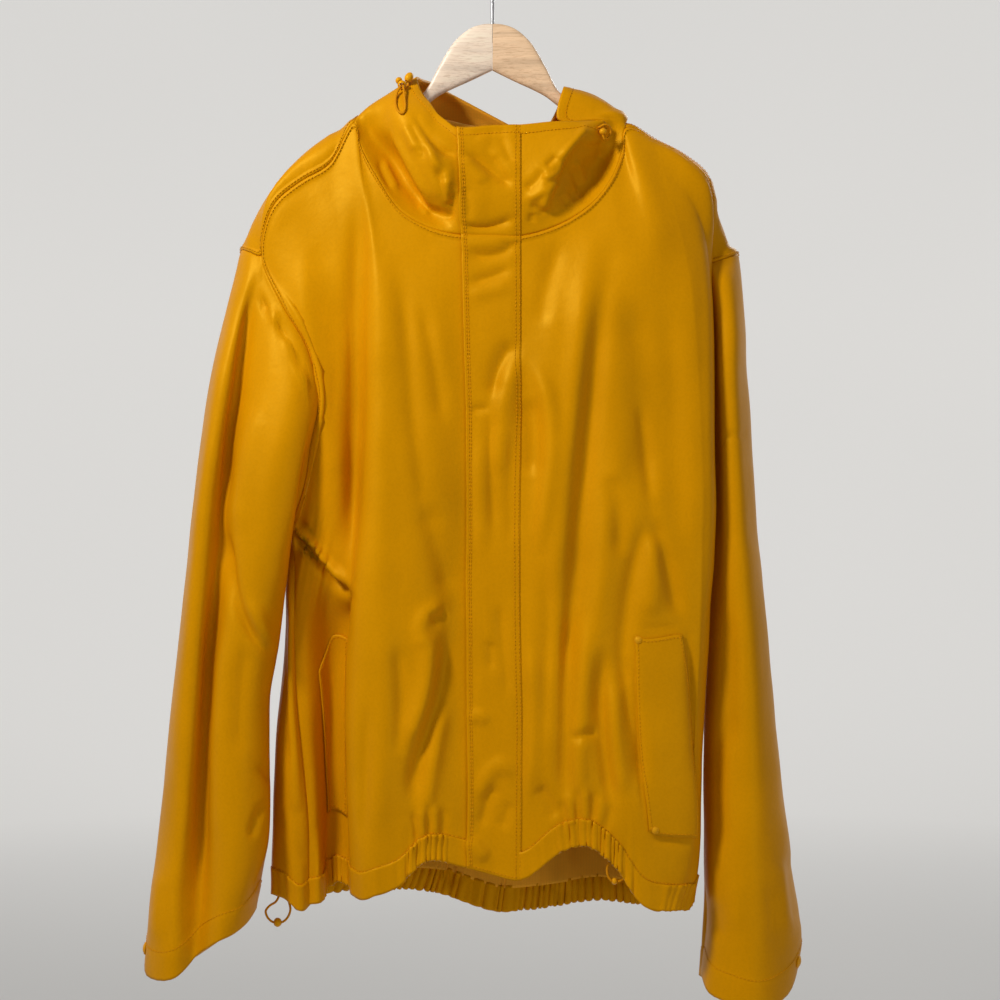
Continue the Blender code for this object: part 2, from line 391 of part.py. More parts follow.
# Gathers in the turned edges: rib that they start from, waves to the next rib, depth
FRONT_RIGHT_GATHERS = [("breast", 3, 1.6), ("mid_r", 1, 1.2), ("slope_r", 1, 1.2), ("fold_r", 1, 1.2)]
FRONT_LEFT_GATHERS = [("breast", 3, 1.8), ("bust", 2, 1.6), ("mid", 3, 1.4)]
BACK_GATHERS = [("slope_r", 2, 1.8), ("mid_r", 2, 1.6), ("nape_rm", 3, 1.6), ("nape_rr", 3, 1.8),
                ("nape", 3, 1.4), ("nape_ll", 2, 1.8), ("neck_l", 2, 1.6), ("mid_l", 2, 1.8)]
FLAP_FREE_EDGE = "under_flap"
FLAP_SEAM = "flap_seam"


# ---- smooth curves and lofted cloth -------------------------------------------------------------

def through(points, stations, closed=False):
    """Points of a smooth centripetal curve through rows of points; station 2.5 is halfway from row 2 to 3."""
    points = np.asarray(points, float)
    if closed:
        ring = np.vstack([points[-1], points, points[0], points[1]])
    else:
        ring = np.vstack([2 * points[0] - points[1], points, 2 * points[-1] - points[-2]])
    stations = np.asarray(stations, float)
    last = len(ring) - 4
    row = np.clip(np.floor(stations).astype(int), 0, last)
    part = (stations - row)[:, None]
    before, start, end, after = (ring[row + k] for k in range(4))
    gap_in, gap, gap_out = (
        np.sqrt(np.linalg.norm(b - a, axis=1) + 1e-9)[:, None]
        for a, b in ((before, start), (start, end), (end, after)))
    leave = gap * ((start - before) / gap_in - (end - before) / (gap_in + gap)) + (end - start)
    arrive = (end - start) + gap * ((after - end) / gap_out - (after - start) / (gap + gap_out))
    square, cube = part ** 2, part ** 3
    return ((2 * cube - 3 * square + 1) * start + (cube - 2 * square + part) * leave
            + (3 * square - 2 * cube) * end + (cube - square) * arrive)


def down_rib(points, shares, band, band_shares):
    """Points down one rib: at shares of the length above its turned edge, then across that edge band."""
    fine = np.linspace(0, len(points) - 1, 24 * (len(points) - 1) + 1)
    line = through(points, fine)
    length = np.concatenate([[0], np.cumsum(np.linalg.norm(np.diff(line, axis=0), axis=1))])
    body = length[-1] - band
    wanted = np.concatenate([np.asarray(shares) * body, body + band * np.asarray(band_shares)])
    return through(points, np.interp(wanted, length, fine))


def rib_stations(counts, closed):
    """Stations of the columns, from the number of columns between each rib and the next."""
    used = counts if closed else counts[:-1]
    steps = [i + k / count for i, count in enumerate(used) for k in range(count)]
    return np.array(steps if closed else steps + [len(counts) - 1.0])


class Panel:
    """One cut piece as rows of points, from its top seam down to its turned edge, in millimetres."""

    def __init__(self, rows, stations=None, closed=False, flipped=False):
        self.rows = rows
        self.stations = stations or [np.arange(len(row), dtype=float) for row in rows]
        self.closed = closed
        self.flipped = flipped
        self.names, self.counts = [], []

    @classmethod
    def lofted(cls, ribs, rows, band, closed=False, flipped=False, gathers=()):
        """Panel through ribs, with rows at these shares of the length above its turned edge band."""
        panel = cls([], [], closed, flipped)
        panel.names = [name for name, _, _ in ribs]
        panel.counts = [count for _, count, _ in ribs]
        lines = np.array([down_rib(points, rows, band, BAND_SHARES) for _, _, points in ribs])
        body = rib_stations(panel.counts, closed)
        edge = rib_stations(panel.edge_counts(gathers), closed)
        panel.stations = [body] * len(rows) + [edge] * len(BAND_SHARES)
        panel.rows = [through(lines[:, j], row, closed) for j, row in enumerate(panel.stations)]
        panel.pucker(gathers, len(rows))
        return panel

    def edge_counts(self, gathers):
        """Columns between ribs in the edge band, where each gather takes two."""
        counts = list(self.counts)
        for name, waves, _ in gathers:
            counts[self.names.index(name)] = 2 * waves
        return counts

    def pucker(self, gathers, first_row):
        """Move alternate columns of the edge band out and in, which gathers it."""
        normals = self.split(self.normals())
        counts = self.edge_counts(gathers)
        for name, waves, depth in gathers:
            rib = self.names.index(name)
            start = sum(counts[:rib])
            for j, share in enumerate(BAND_SHARES):
                row = self.rows[first_row + j]
                for k in range(1, 2 * waves):
                    side = 1 if k % 2 else -1
                    move = side * depth * (0.35 + 0.65 * share)
                    row[start + k] += move * normals[first_row + j][start + k]

    def column(self, name):
        """Body column on the named rib."""
        return sum(self.counts[:self.names.index(name)])

    def snap_top(self, points, first=0, reach=4):
        """Bring the top row onto a seam shared with a neighbour, easing back over the rows below."""
        span = slice(first, first + len(points))
        shift = points - self.rows[0][span]
        for j in range(reach):
            self.rows[j][span] += shift * (1 - j / reach) ** 2

    def triangles(self):
        """Triangles of the middle surface, which both faces of the wall repeat."""
        faces = []
        starts = np.cumsum([0] + [len(row) for row in self.rows])
        for j in range(len(self.rows) - 1):
            faces += self.strip(j, starts[j], starts[j + 1])
        return [face[::-1] for face in faces] if self.flipped else faces

    def strip(self, j, start_up, start_low):
        """Triangles between row j and the next, whose columns may differ in number."""
        upper, lower = self.stations[j], self.stations[j + 1]
        up_points, low_points = self.rows[j], self.rows[j + 1]
        if self.closed:
            end = len(self.names)
            upper, lower = np.append(upper, end), np.append(lower, end)
        faces = []
        a = b = 0
        while a < len(upper) - 1 or b < len(lower) - 1:
            up, low = start_up + a % len(up_points), start_low + b % len(low_points)
            up_next = start_up + (a + 1) % len(up_points)
            low_next = start_low + (b + 1) % len(low_points)
            lead_up = upper[a + 1] if a < len(upper) - 1 else np.inf
            lead_low = lower[b + 1] if b < len(lower) - 1 else np.inf
            if abs(lead_up - lead_low) < 1e-6:
                across = up_points[(a + 1) % len(up_points)] - low_points[b % len(low_points)]
                along = low_points[(b + 1) % len(low_points)] - up_points[a % len(up_points)]
                if np.dot(across, across) < np.dot(along, along):
                    faces += [(up, up_next, low), (up_next, low_next, low)]
                else:
                    faces += [(up, up_next, low_next), (up, low_next, low)]
                a, b = a + 1, b + 1
            elif lead_up < lead_low:
                faces.append((up, up_next, low))
                a += 1
            else:
                faces.append((up, low_next, low))
                b += 1
        return faces

    def split(self, values):
        """Cut one long array into the panel's rows."""
        return np.split(values, np.cumsum([len(row) for row in self.rows])[:-1])

    def normals(self, by_angle=False):
        """Normals of the middle surface, out of the coat: unit ones, or as long as the angle round a point."""
        points = np.vstack(self.rows)
        faces = np.array(self.triangles())
        total, angles = np.zeros_like(points), np.zeros(len(points))
        for k in range(3):
            here, one, two = (points[faces[:, (k + step) % 3]] for step in range(3))
            one, two = one - here, two - here
            flat = np.cross(one, two)
            np.add.at(total, faces[:, k], flat)
            np.add.at(angles, faces[:, k], np.arctan2(np.linalg.norm(flat, axis=1), np.sum(one * two, axis=1)))
        units = total / np.linalg.norm(total, axis=1)[:, None]
        return units * angles[:, None] if by_angle else units


def shared_normals(panels):
    """Unit normals of all the pieces, where those that meet at a seam have the same."""
    totals, owners, normals = {}, {}, {}
    keys = {name: [tuple(np.round(point, 2)) for point in np.vstack(panel.rows)]
            for name, panel in panels.items()}
    for name, panel in panels.items():
        for key, normal in zip(keys[name], panel.normals(by_angle=True)):
            totals[key] = totals.get(key, 0) + normal
            owners.setdefault(key, set()).add(name)
    for _ in range(SEAM_EASING):
        # Even the normals out along the seams
        eased = {key: total / np.linalg.norm(total) for key, total in totals.items()}
        totals = dict(eased)
        for name, panel in panels.items():
            for a, b in border(panel.triangles()):
                one, two = keys[name][a], keys[name][b]
                if len(owners[one]) > 1 and len(owners[two]) > 1:
                    totals[one] = totals[one] + 0.5 * eased[two]
                    totals[two] = totals[two] + 0.5 * eased[one]
    flats = {}
    for name, panel in panels.items():
        points, faces = np.vstack(panel.rows), np.array(panel.triangles())
        across = np.cross(points[faces[:, 1]] - points[faces[:, 0]], points[faces[:, 2]] - points[faces[:, 0]])
        for face, flat in zip(faces, across / np.linalg.norm(across, axis=1)[:, None]):
            for corner in face:
                flats.setdefault(keys[name][corner], []).append(flat)
    for name in panels:
        normals[name] = np.array([facing(totals[key], np.array(flats[key])) for key in keys[name]])
    return normals


def facing(normal, flats):
    """Unit normal, turned until it faces every one of the triangles round its point."""
    normal = normal / np.linalg.norm(normal)
    for _ in range(FACING_STEPS):
        dots = flats @ normal
        if dots.min() > FACING_LEAST:
            break
        normal = normal + 0.1 * flats[dots.argmin()]
        normal /= np.linalg.norm(normal)
    return normal


def border(faces):
    """Directed edges that only one triangle has."""
    edges = {(face[k], face[(k + 1) % 3]) for face in faces for k in range(3)}
    return [(a, b) for a, b in edges if (b, a) not in edges]


def draw_in(points, normals, edges, gap):
    """Draw the border of a piece in by half the seam gap, along the piece."""
    moves = {}
    for a, b in edges:
        run = points[b] - points[a]
        inward = np.cross(normals[a] + normals[b], run)
        inward /= np.linalg.norm(inward)
        moves.setdefault(a, []).append(inward)
        moves.setdefault(b, []).append(inward)
    drawn = points.copy()
    for k, (one, two) in moves.items():
        drawn[k] += gap / 2 * (one + two) / max(1 + np.dot(one, two), 0.4)
    return drawn


def wall(name, points, normals, faces, thick, material):
    """Closed solid of a cloth piece: its middle surface thickened to both sides."""
    count = len(points)
    solid = np.vstack([points + thick / 2 * normals, points - thick / 2 * normals])
    sides = []
    for a, b in border(faces):
        # Along a seam both pieces split their edges along the shorter diagonal, so they match
        if np.linalg.norm(solid[a] - solid[b + count]) < np.linalg.norm(solid[b] - solid[a + count]):
            sides += [(b, a, b + count), (a, a + count, b + count)]
        else:
            sides += [(b, a, a + count), (b, a + count, b + count)]
    inner = [(a + count, c + count, b + count) for a, b, c in faces]
    return add_mesh(name, solid * MM, list(faces) + inner + sides, material)


def add_mesh(name, points, faces, material, smooth=True):
    """New object from points in metres and faces."""
    mesh = bpy.data.meshes.new(name)
    mesh.from_pydata([tuple(map(float, point)) for point in points], [], [tuple(map(int, f)) for f in faces])
    mesh.materials.append(finish(material))
    if smooth:
        mesh.shade_smooth()
        mesh.set_sharp_from_angle(angle=math.radians(50))
    part = bpy.data.objects.new(name, mesh)
    bpy.context.scene.collection.objects.link(part)
    return part


def finish(kind):
    """Principled material of one kind, made once."""
    if kind in bpy.data.materials:
        return bpy.data.materials[kind]
    colour, roughness, metallic = MATERIALS[kind]
    material = bpy.data.materials.new(kind)
    material.use_nodes = True
    shader = material.node_tree.nodes["Principled BSDF"]
    shader.inputs["Base Color"].default_value = (*colour, 1)
    shader.inputs["Roughness"].default_value = roughness
    shader.inputs["Metallic"].default_value = metallic
    material.diffuse_color = (*colour, 1)
    return material


# ---- the coat -----------------------------------------------------------------------------------

def back_ribs():
    """Ribs of the back: the shaped tops from the table, then levels spread across the back."""
    ribs = []
    for name, count, share, top in BACK:
        if share is None:
            ribs.append((name, count, top))
            continue
        points = list(top)
        for height, right, left, middle_depth, edge_depth in BACK_LEVELS:
            if height > top[-1][2] - 30:
                continue
            bow = 1 - (2 * share - 1) ** 2
            points.append((right + (left - right) * share, edge_depth + (middle_depth - edge_depth) * bow,
                           height))
        tail = through(BACK_HEM, [share * (len(BACK_HEM) - 1)])[0]
        ribs.append((name, count, points + [tuple(tail)]))
    return ribs


def cloth_panels():
    """The seven large pieces, with their shared seams brought together."""
    front_right = Panel.lofted(FRONT_RIGHT, BODY_ROWS, HEM_BAND, gathers=FRONT_RIGHT_GATHERS)
    front_left = Panel.lofted(FRONT_LEFT, BODY_ROWS, HEM_BAND, flipped=True, gathers=FRONT_LEFT_GATHERS)
    back = Panel.lofted(back_ribs(), BODY_ROWS, HEM_BAND, gathers=BACK_GATHERS)
    sleeve_right = Panel.lofted(SLEEVE_RIGHT, SLEEVE_ROWS, HEM_BAND, closed=True)
    sleeve_left = Panel.lofted(SLEEVE_LEFT, SLEEVE_ROWS, HEM_BAND, closed=True, flipped=True)
    hood_right = Panel.lofted(HOOD_RIGHT, HOOD_ROWS, FACE_BAND, flipped=True)
    hood_left = Panel.lofted(HOOD_LEFT, HOOD_ROWS, FACE_BAND)

    # Shoulder seams: the back follows the fronts
    right_top, left_top = front_right.rows[0], front_left.rows[0]
    neck_right, tip_right = front_right.column("neck_r"), front_right.column("tip_r")
    neck_left, tip_left = front_left.column("neck_l"), front_left.column("tip_l")
    back.snap_top(right_top[neck_right:tip_right + 1][::-1], back.column("tip_r"), 2)
    back.snap_top(left_top[neck_left:tip_left + 1], back.column("neck_l"), 2)

    # Neckline: the hood follows the fronts and the back
    back_top = back.rows[0]
    nape = back.column("nape")
    hood_right.snap_top(np.vstack([right_top[:neck_right + 1],
                                   back_top[back.column("neck_r") + 1:nape + 1]]), 0, 2)
    hood_left.snap_top(np.vstack([left_top[:neck_left + 1],
                                  back_top[nape:back.column("neck_l")][::-1]]), 0, 2)

    # Armholes: the sleeves follow the fronts and the back
    sleeve_right.snap_top(np.vstack([right_top[tip_right:][::-1], back_top[1:back.column("tip_r")][::-1]]))
    sleeve_left.snap_top(np.vstack([left_top[tip_left:][::-1],
                                    back_top[back.column("tip_l") + 1:-1]]))
    return {"front_right": front_right, "front_left": front_left, "back": back,
            "sleeve_right": sleeve_right, "sleeve_left": sleeve_left,
            "hood_right": hood_right, "hood_left": hood_left}


def storm_flap(panels, normals):
    """Rows of the flap over the front opening, laid on the hood and the fronts."""
    rows = []
    for half, right, left in (("hood", "hood_right", "hood_left"), ("front", "front_right", "front_left")):
        right_panel, left_panel = panels[right], panels[left]
        right_normals, left_normals = right_panel.split(normals[right]), left_panel.split(normals[left])
        right_end, left_end = right_panel.column(FLAP_FREE_EDGE), left_panel.column(FLAP_SEAM)
        laid = []
        for j in range(len(right_panel.rows)):
            points = np.vstack([right_panel.rows[j][right_end:0:-1], left_panel.rows[j][:left_end + 1]])
            out = np.vstack([right_normals[j][right_end:0:-1], left_normals[j][:left_end + 1]])
            laid.append(points + (CLOTH + LAID_GAP) * out)
        rows += laid[:0:-1] if half == "hood" else laid
    return rows


def station(panel, values, column, row):
    """Value between the columns and rows of a panel, from its rows of values."""
    i, j = int(row), int(column)
    u, v = column - j, row - i
    upper, lower = values[i], values[min(i + 1, len(values) - 1)]
    right = (j + 1) % len(upper)
    return ((1 - v) * ((1 - u) * upper[j] + u * upper[right])
            + v * ((1 - u) * lower[j] + u * lower[right]))


def surface(panel, normals, column, row, lift):
    """Point above a panel's middle surface, and the unit normal there."""
    out = station(panel, panel.split(normals), column, row)
    out = out / np.linalg.norm(out)
    return station(panel, panel.rows, column, row) + lift * out, out


def patch(panel, normals, corners, columns, rows):
    """Piece that lies on a panel, between four corners given as (rib, row) stations."""
    starts = np.cumsum([0] + panel.counts)[:-1]
    laid = []
    for low in np.linspace(0, 1, rows + 1):
        line = []
        for across in np.linspace(0, 1, columns + 1):
            top = (1 - across) * np.array(corners[0]) + across * np.array(corners[1])
            foot = (1 - across) * np.array(corners[2]) + across * np.array(corners[3])
            rib, row = (1 - low) * top + low * foot
            column = np.interp(rib, range(len(starts)), starts)
            line.append(surface(panel, normals, column, row, CLOTH + LAID_GAP)[0])
        laid.append(np.array(line))
    return Panel(laid, flipped=panel.flipped)


def build_coat():
    """All the cloth pieces, and the studs on them."""
    panels = cloth_panels()
    normals = shared_normals(panels)
    laid = {"storm_flap": Panel(storm_flap(panels, normals), flipped=True)}
    for side, (corners, columns, rows) in POCKET_FLAPS.items():
        front = "front_" + side
        laid["pocket_flap_" + side] = patch(panels[front], normals[front], corners, columns, rows)
    for name, panel in laid.items():
        panels[name] = panel
        normals[name] = panel.normals()
    for name, panel in panels.items():
        points, faces = np.vstack(panel.rows), panel.triangles()
        drawn = draw_in(points, normals[name], border(faces), SEAM_GAP)
        wall(name, drawn, normals[name], faces, CLOTH, "coated_cloth")
    for name, piece, rib, past, row, radius, high in STUDS:
        column = panels[piece].column(rib) + past if rib else past
        place, out = surface(panels[piece], normals[piece], column, row, CLOTH / 2 + STUD_GAP)
        turned(name, place, out, stud_profile(radius, high), "stud")


# ---- studs and drawcords ------------------------------------------------------------------------

def turned(name, place, axis, profile, material):
    """Solid turned round an axis; its profile is a list of (radius, height along the axis)."""
    turn = Vector(tuple(axis)).to_track_quat("Z", "Y").to_matrix()
    points, faces = [], []
    for k in range(TURNED_SIDES):
        angle = 2 * math.pi * k / TURNED_SIDES
        for radius, height in profile:
            spot = turn @ Vector((radius * math.cos(angle), radius * math.sin(angle), height))
            points.append(np.array(place) + np.array(spot))
    count = len(profile)
    solid_round = profile[0][0] == 0
    for k in range(TURNED_SIDES):
        here, after = k * count, (k + 1) % TURNED_SIDES * count
        for j in range(count if not solid_round else count - 1):
            low, high = j, (j + 1) % count
            if solid_round and low == 0:
                faces.append((0, after + high, here + high))
            elif solid_round and high == count - 1:
                faces.append((here + low, after + low, count - 1))
            else:
                faces.append((here + low, after + low, after + high, here + high))
    part = add_mesh(name, np.array(points) * MM, faces, material)
    loose = bmesh.new()
    loose.from_mesh(part.data)
    bmesh.ops.delete(loose, geom=[v for v in loose.verts if not v.link_faces], context="VERTS")
    loose.to_mesh(part.data)
    loose.free()
    return part


def stud_profile(radius, high):
    """Domed cap with a flat foot."""
    return [(0, 0), (radius, 0), (radius, 0.45 * high), (0.8 * radius, 0.85 * high),
            (0.45 * radius, high), (0, 0.94 * high)]


def bead_profile(radius, half, hole):
    """Bead with a hole through it, rounded outside."""
    reach = math.acos(hole / radius)
    arc = [(radius * math.cos(reach * t), half * math.sin(reach * t)) for t in (-1, -0.7, -0.35, 0, 0.35, 0.7, 1)]
    return arc


def drawcords():
    """Cords along their routes, with the beads and the lock that they pass through."""
    for name, route in CORDS.items():
        tube(name, even_route(route, CORD_STEP), CORD, "cord", sides=1)
    for name, place, axis, radius, half, hole in BEADS:
        turned(name, place, axis, bead_profile(radius, half, hole), "plastic")


# ---- the hanger ---------------------------------------------------------------------------------

def hanger_arm(name, side):
    """One wooden arm: rings of a rounded section along its outline, swept forward and tilted."""
    rings = []
    for across, top, bottom in ARM_OUTLINE:
        middle, half = (top + bottom) / 2, (top - bottom) / 2
        ring = []
        for k in range(ARM_POINTS):
            turn = 2 * math.pi * k / ARM_POINTS
            deep, high = math.cos(turn), math.sin(turn)
            y = ARM_THICK / 2 * math.copysign(abs(deep) ** ARM_SQUARE, deep)
            z = middle + half * math.copysign(abs(high) ** ARM_SQUARE, high)
            x = side * across
            ring.append((x * math.cos(ARM_TILT) + (z + SHANK_TOP) * math.sin(ARM_TILT),
                         y - across * math.tan(ARM_SWEEP),
                         z - x * math.sin(ARM_TILT)))
        rings.append(ring)
    faces = [tuple(range(ARM_POINTS)), tuple(range((len(rings) - 1) * ARM_POINTS, len(rings) * ARM_POINTS))[::-1]]
    for i in range(len(rings) - 1):
        for k in range(ARM_POINTS):
            a, b = i * ARM_POINTS + k, i * ARM_POINTS + (k + 1) % ARM_POINTS
            faces.append((a, a + ARM_POINTS, b + ARM_POINTS, b))
    if side < 0:
        faces = [face[::-1] for face in faces]
    arm = add_mesh(name, np.array(rings).reshape(-1, 3) * MM, faces, "wood")
    hole = arm.modifiers.new("shank_hole", "BOOLEAN")
    hole.operation = "DIFFERENCE"
    hole.object = bpy.data.objects["shank_cutter"]
    return arm


def shank_cutter():
    """Guide that cuts the hole for the hook's shank, half in each arm."""
    mesh = bpy.data.meshes.new("shank_cutter")
    shape = bmesh.new()
    bmesh.ops.create_cone(shape, cap_ends=True, segments=16, radius1=(HOOK_WIRE / 2 + HOOK_FIT) * MM,
                          radius2=(HOOK_WIRE / 2 + HOOK_FIT) * MM, depth=2 * SHANK_DEPTH * MM)
    shape.to_mesh(mesh)
    shape.free()
    cutter = bpy.data.objects.new("shank_cutter", mesh)
    cutter.location = (0, 0, -SHANK_TOP * MM)
    cutter.hide_render = True
    cutter.display_type = "WIRE"
    bpy.context.scene.collection.objects.link(cutter)


def tube(name, points, diameter, material, sides=2):
    """Round wire or cord along points in millimetres."""
    line = bpy.data.curves.new(name, "CURVE")
    line.dimensions = "3D"
    line.bevel_depth = diameter / 2 * MM
    line.bevel_resolution = sides
    line.use_fill_caps = True
    spline = line.splines.new("POLY")
    spline.points.add(len(points) - 1)
    for knot, point in zip(spline.points, points):
        knot.co = (*(float(v) * MM for v in point), 1)
    line.materials.append(finish(material))
    cord = bpy.data.objects.new(name, line)
    bpy.context.scene.collection.objects.link(cord)
    return cord


def even_route(points, spacing):
    """Points at even spacing on the smooth curve through a route's own points."""
    fine = np.linspace(0, len(points) - 1, 40 * (len(points) - 1) + 1)
    line = through(points, fine)
    length = np.concatenate([[0], np.cumsum(np.linalg.norm(np.diff(line, axis=0), axis=1))])
    count = max(2, round(length[-1] / spacing))
    return through(points, np.interp(np.linspace(0, length[-1], count + 1), length, fine))


def hook():
    """Wire hook: a straight shank, then a ring that stays open at its lower side."""
    foot = -SHANK_TOP - SHANK_DEPTH + HOOK_FIT
    shank = [(0, 0, z) for z in np.linspace(foot, HOOK_NECK, 5)]
    centre = HOOK_WIRE / 2 - HOOK_RADIUS
    ring = [(HOOK_RADIUS * math.cos(turn), 0, centre + HOOK_RADIUS * math.sin(turn))
            for turn in np.radians(np.arange(-66, 206, 12))]
    return tube("hanger_hook", shank + ring, HOOK_WIRE, "steel", sides=2)


def main():
    """Clear the scene and build every part."""
    for item in list(bpy.data.objects):
        bpy.data.objects.remove(item, do_unlink=True)
    shank_cutter()
    hanger_arm("hanger_arm_right", -1)
    hanger_arm("hanger_arm_left", 1)
    hook()
    build_coat()
    drawcords()


main()
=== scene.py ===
"""Looks of the hooded raincoat on its hanger: cloth, seams, creases, cords, wood, light and camera.

Every cloth piece is lofted anew through the same ribs as its solid, on a finer grid, and its creases,
gathers, seams and stitches are then raised on that grid. Tables are in millimetres.
"""
import math

import bpy
import numpy as np
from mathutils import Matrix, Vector


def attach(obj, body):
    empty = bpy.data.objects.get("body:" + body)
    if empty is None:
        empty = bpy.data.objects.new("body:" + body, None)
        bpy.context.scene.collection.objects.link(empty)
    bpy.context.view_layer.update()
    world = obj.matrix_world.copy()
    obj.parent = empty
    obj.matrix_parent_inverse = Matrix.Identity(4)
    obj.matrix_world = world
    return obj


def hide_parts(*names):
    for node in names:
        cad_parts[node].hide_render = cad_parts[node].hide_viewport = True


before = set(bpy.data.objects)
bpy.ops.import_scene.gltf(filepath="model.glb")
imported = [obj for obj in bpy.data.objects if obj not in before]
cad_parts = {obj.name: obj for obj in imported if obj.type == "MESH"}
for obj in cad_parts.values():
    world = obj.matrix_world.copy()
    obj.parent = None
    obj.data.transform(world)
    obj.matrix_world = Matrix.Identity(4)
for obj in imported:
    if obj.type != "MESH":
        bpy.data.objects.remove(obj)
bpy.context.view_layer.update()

MM = 0.001

# Cloth, as in the solids
CLOTH = 1.5              # thickness drawn
SOLID_CLOTH = 1.6
LAID_GAP = 0.6           # between a panel and a piece that lies on it
HEM_BAND = 26.0
FACE_BAND = 9.0
FINER = 4                # grid columns for each column of the solid

# Camera: the front view's plane is y = -40, where 1 pixel is 0.94 mm
EYE = (7.2, -1940.0, -538.9)
PLANE = -40.0
LENS, SENSOR = 72.8, 36

# Corners of the flaps laid on the fronts, as (rib, row of the solid): the two of the top, then of the foot
POCKET_FLAPS = {
    "left": ((4.8, 11.6), (6.0, 11.6), (5.05, 14.35), (6.65, 14.4)),
    "right": ((7.2, 11.7), (12.2, 10.9), (7.05, 14.4), (10.65, 14.2)),
}
# Shares of a rib's length that the solids' rows lie at
BODY_ROWS = [0, 0.018, 0.04, 0.07, 0.11, 0.16, 0.23, 0.31, 0.39, 0.47, 0.55, 0.63, 0.71, 0.8, 0.9, 1]

# Grids: rows down a piece, close together near its top seam, then at even steps
ROW_STEP = 3.8
NEAR_SEAM = [0, 0.9, 2.2, 4.0, 5.2, 7.0, 9.5]
BAND_STEP = 2.6
HOOD_STEP = 2.4
FLAP_ROWS, FLAP_COLUMNS = 64, 30
MORE_COLUMNS = {"front_right": 2, "front_left": 2, "hood_right": 2, "hood_left": 2}
BAND_COLUMNS = 1.3       # between the columns of a gathered hem band
EVEN_ROUNDS = 70         # of evening out the ripples across a front
GATHER_ROWS = 14         # rows above a turned edge that its gathers fade out over
GATHER_REACH = 0.35      # share of a gather's depth that is left above the edge
# Shares of a rib's length that the rows of the solids' sleeves and hood halves lie at
SLEEVE_ROWS = [0, 0.035, 0.08, 0.14, 0.21, 0.29, 0.37, 0.45, 0.54, 0.64, 0.76, 0.88, 1]
HOOD_ROWS = [0, 0.07, 0.14, 0.22, 0.31, 0.41, 0.5, 0.59, 0.69, 0.79, 0.88, 0.95, 1]

# Unevenness of all the cloth: seed, wavelengths and height
UNEVEN_SEED = 7
UNEVEN_SIZES = (34, 61, 118)
UNEVEN_HEIGHT = 0.8
UNEVEN_WAVES = 5         # of each wavelength

# Where creases fade out
STROKE_END = 0.22        # share of a crease's length over which each end fades
STROKE_LEFT = 0.15       # share of its height that is left at the very end
SHOULDER = -235.0        # height from which the cloth rests on the hanger
SHOULDER_RISE = 70.0     # over this rise the creases lose the share below
SHOULDER_LOSS = 0.75
CORD_CLEAR, CORD_EASE = 4.0, 16.0     # no crease this near a cord's end, then fading in over this distance
SIDE_EASE = 12.0         # fading in from a side seam
TOP_EASE = 9.0           # fading in from a top seam

# Seams and edges
FLAP_LIFT = (3.2, 2.4, 2.0, 0.25)     # of the storm flap, from its free edge to its seam
WELT = 0.8               # height of the sewn band along a seam
WELT_WIDTH = 4.6
DITCH = 0.9              # depth of a seam between two pieces
DITCH_WIDTH = 1.6
TURNED = 1.3             # extra thickness of a turned hem
STITCH, STITCH_GAP = 2.6, 0.9         # length of a stitch and of the gap after it
THREAD = 0.32            # radius
STITCH_LIFT, STITCH_DIP = 0.25, 0.15  # of a stitch's middle above its line, and of its ends below it

# Hanger
ARM_THICK = 10.0         # front to back
ARM_SWEEP = math.radians(5.0)    # the arms' tips lie forward of the hook
ARM_TILT = math.radians(0.3)     # the coat hangs a little lower on the wearer's left
HOOK_WIRE = 3.5
HOOK_RADIUS = 22.75      # of the wire's centre line
SHANK_DEPTH = 18.0       # of the shank in the wood

ARM_POINTS = 48          # round a section of an arm
ARM_SQUARE = 0.75        # how square the section is: 1 is an ellipse
SHANK_TOP = 82.0         # depth of the wood's top below the hook
HOOK_NECK = -50.0        # where the shank starts to bend into the ring
HOOK_FROM, HOOK_TO, HOOK_TURN = -66, 206, 12     # degrees round the ring: first, limit and step
HOOK_STEP, HOOK_SIDES = 1.2, 20
# Outline of an arm: distance from the middle, top and bottom
ARM_OUTLINE = [(0.15, -82, -127), (10, -83, -132), (22, -87.5, -138), (37, -101, -145), (51, -124, -152.5),
               (65, -149, -163), (95, -166, -181), (129, -184.6, -202.6), (160, -200.4, -220.4),
               (179, -214.4, -235.4), (187, -223.4, -239.4), (190, -230.4, -237.4)]

# Rows and columns of the solids that the studs are placed by
CUFF_ROW, CUFF_ROWS = 12, 2
SOLID_FLAP_ROWS, SOLID_FLAP_COLUMNS = 9, 4
# Press studs: name, piece, rib, columns past the rib, row, radius, height. Rows and columns are the
# solid's, and those without a rib are counted over their whole flap.
STUDS = [
    ("pocket_stud_top", "pocket_flap_left", None, 0.34, 0.16, 3.3, 1.6),
    ("pocket_stud_low", "pocket_flap_left", None, 0.34, 8.84, 3.3, 1.6),
    ("cuff_stud_right", "sleeve_right", "arm_back_d", 0.5, 12.7, 5.9, 2.6),
    ("cuff_stud_left", "sleeve_left", "arm_back_w", 0.6, 12.7, 5.9, 2.6),
]

# Shares of a stud's radius and height down its profile: the rim, the groove behind it and the dome
STUD_PROFILE = [(1, 0.25), (0.97, 0.42), (0.88, 0.5), (0.8, 0.44), (0.74, 0.52), (0.6, 0.78), (0.4, 0.93),
                (0.2, 0.99), (0, 1)]
STUD_SINK = 0.3          # of a stud's foot in the cloth
TURNED_SIDES = 28        # of the beads and the studs

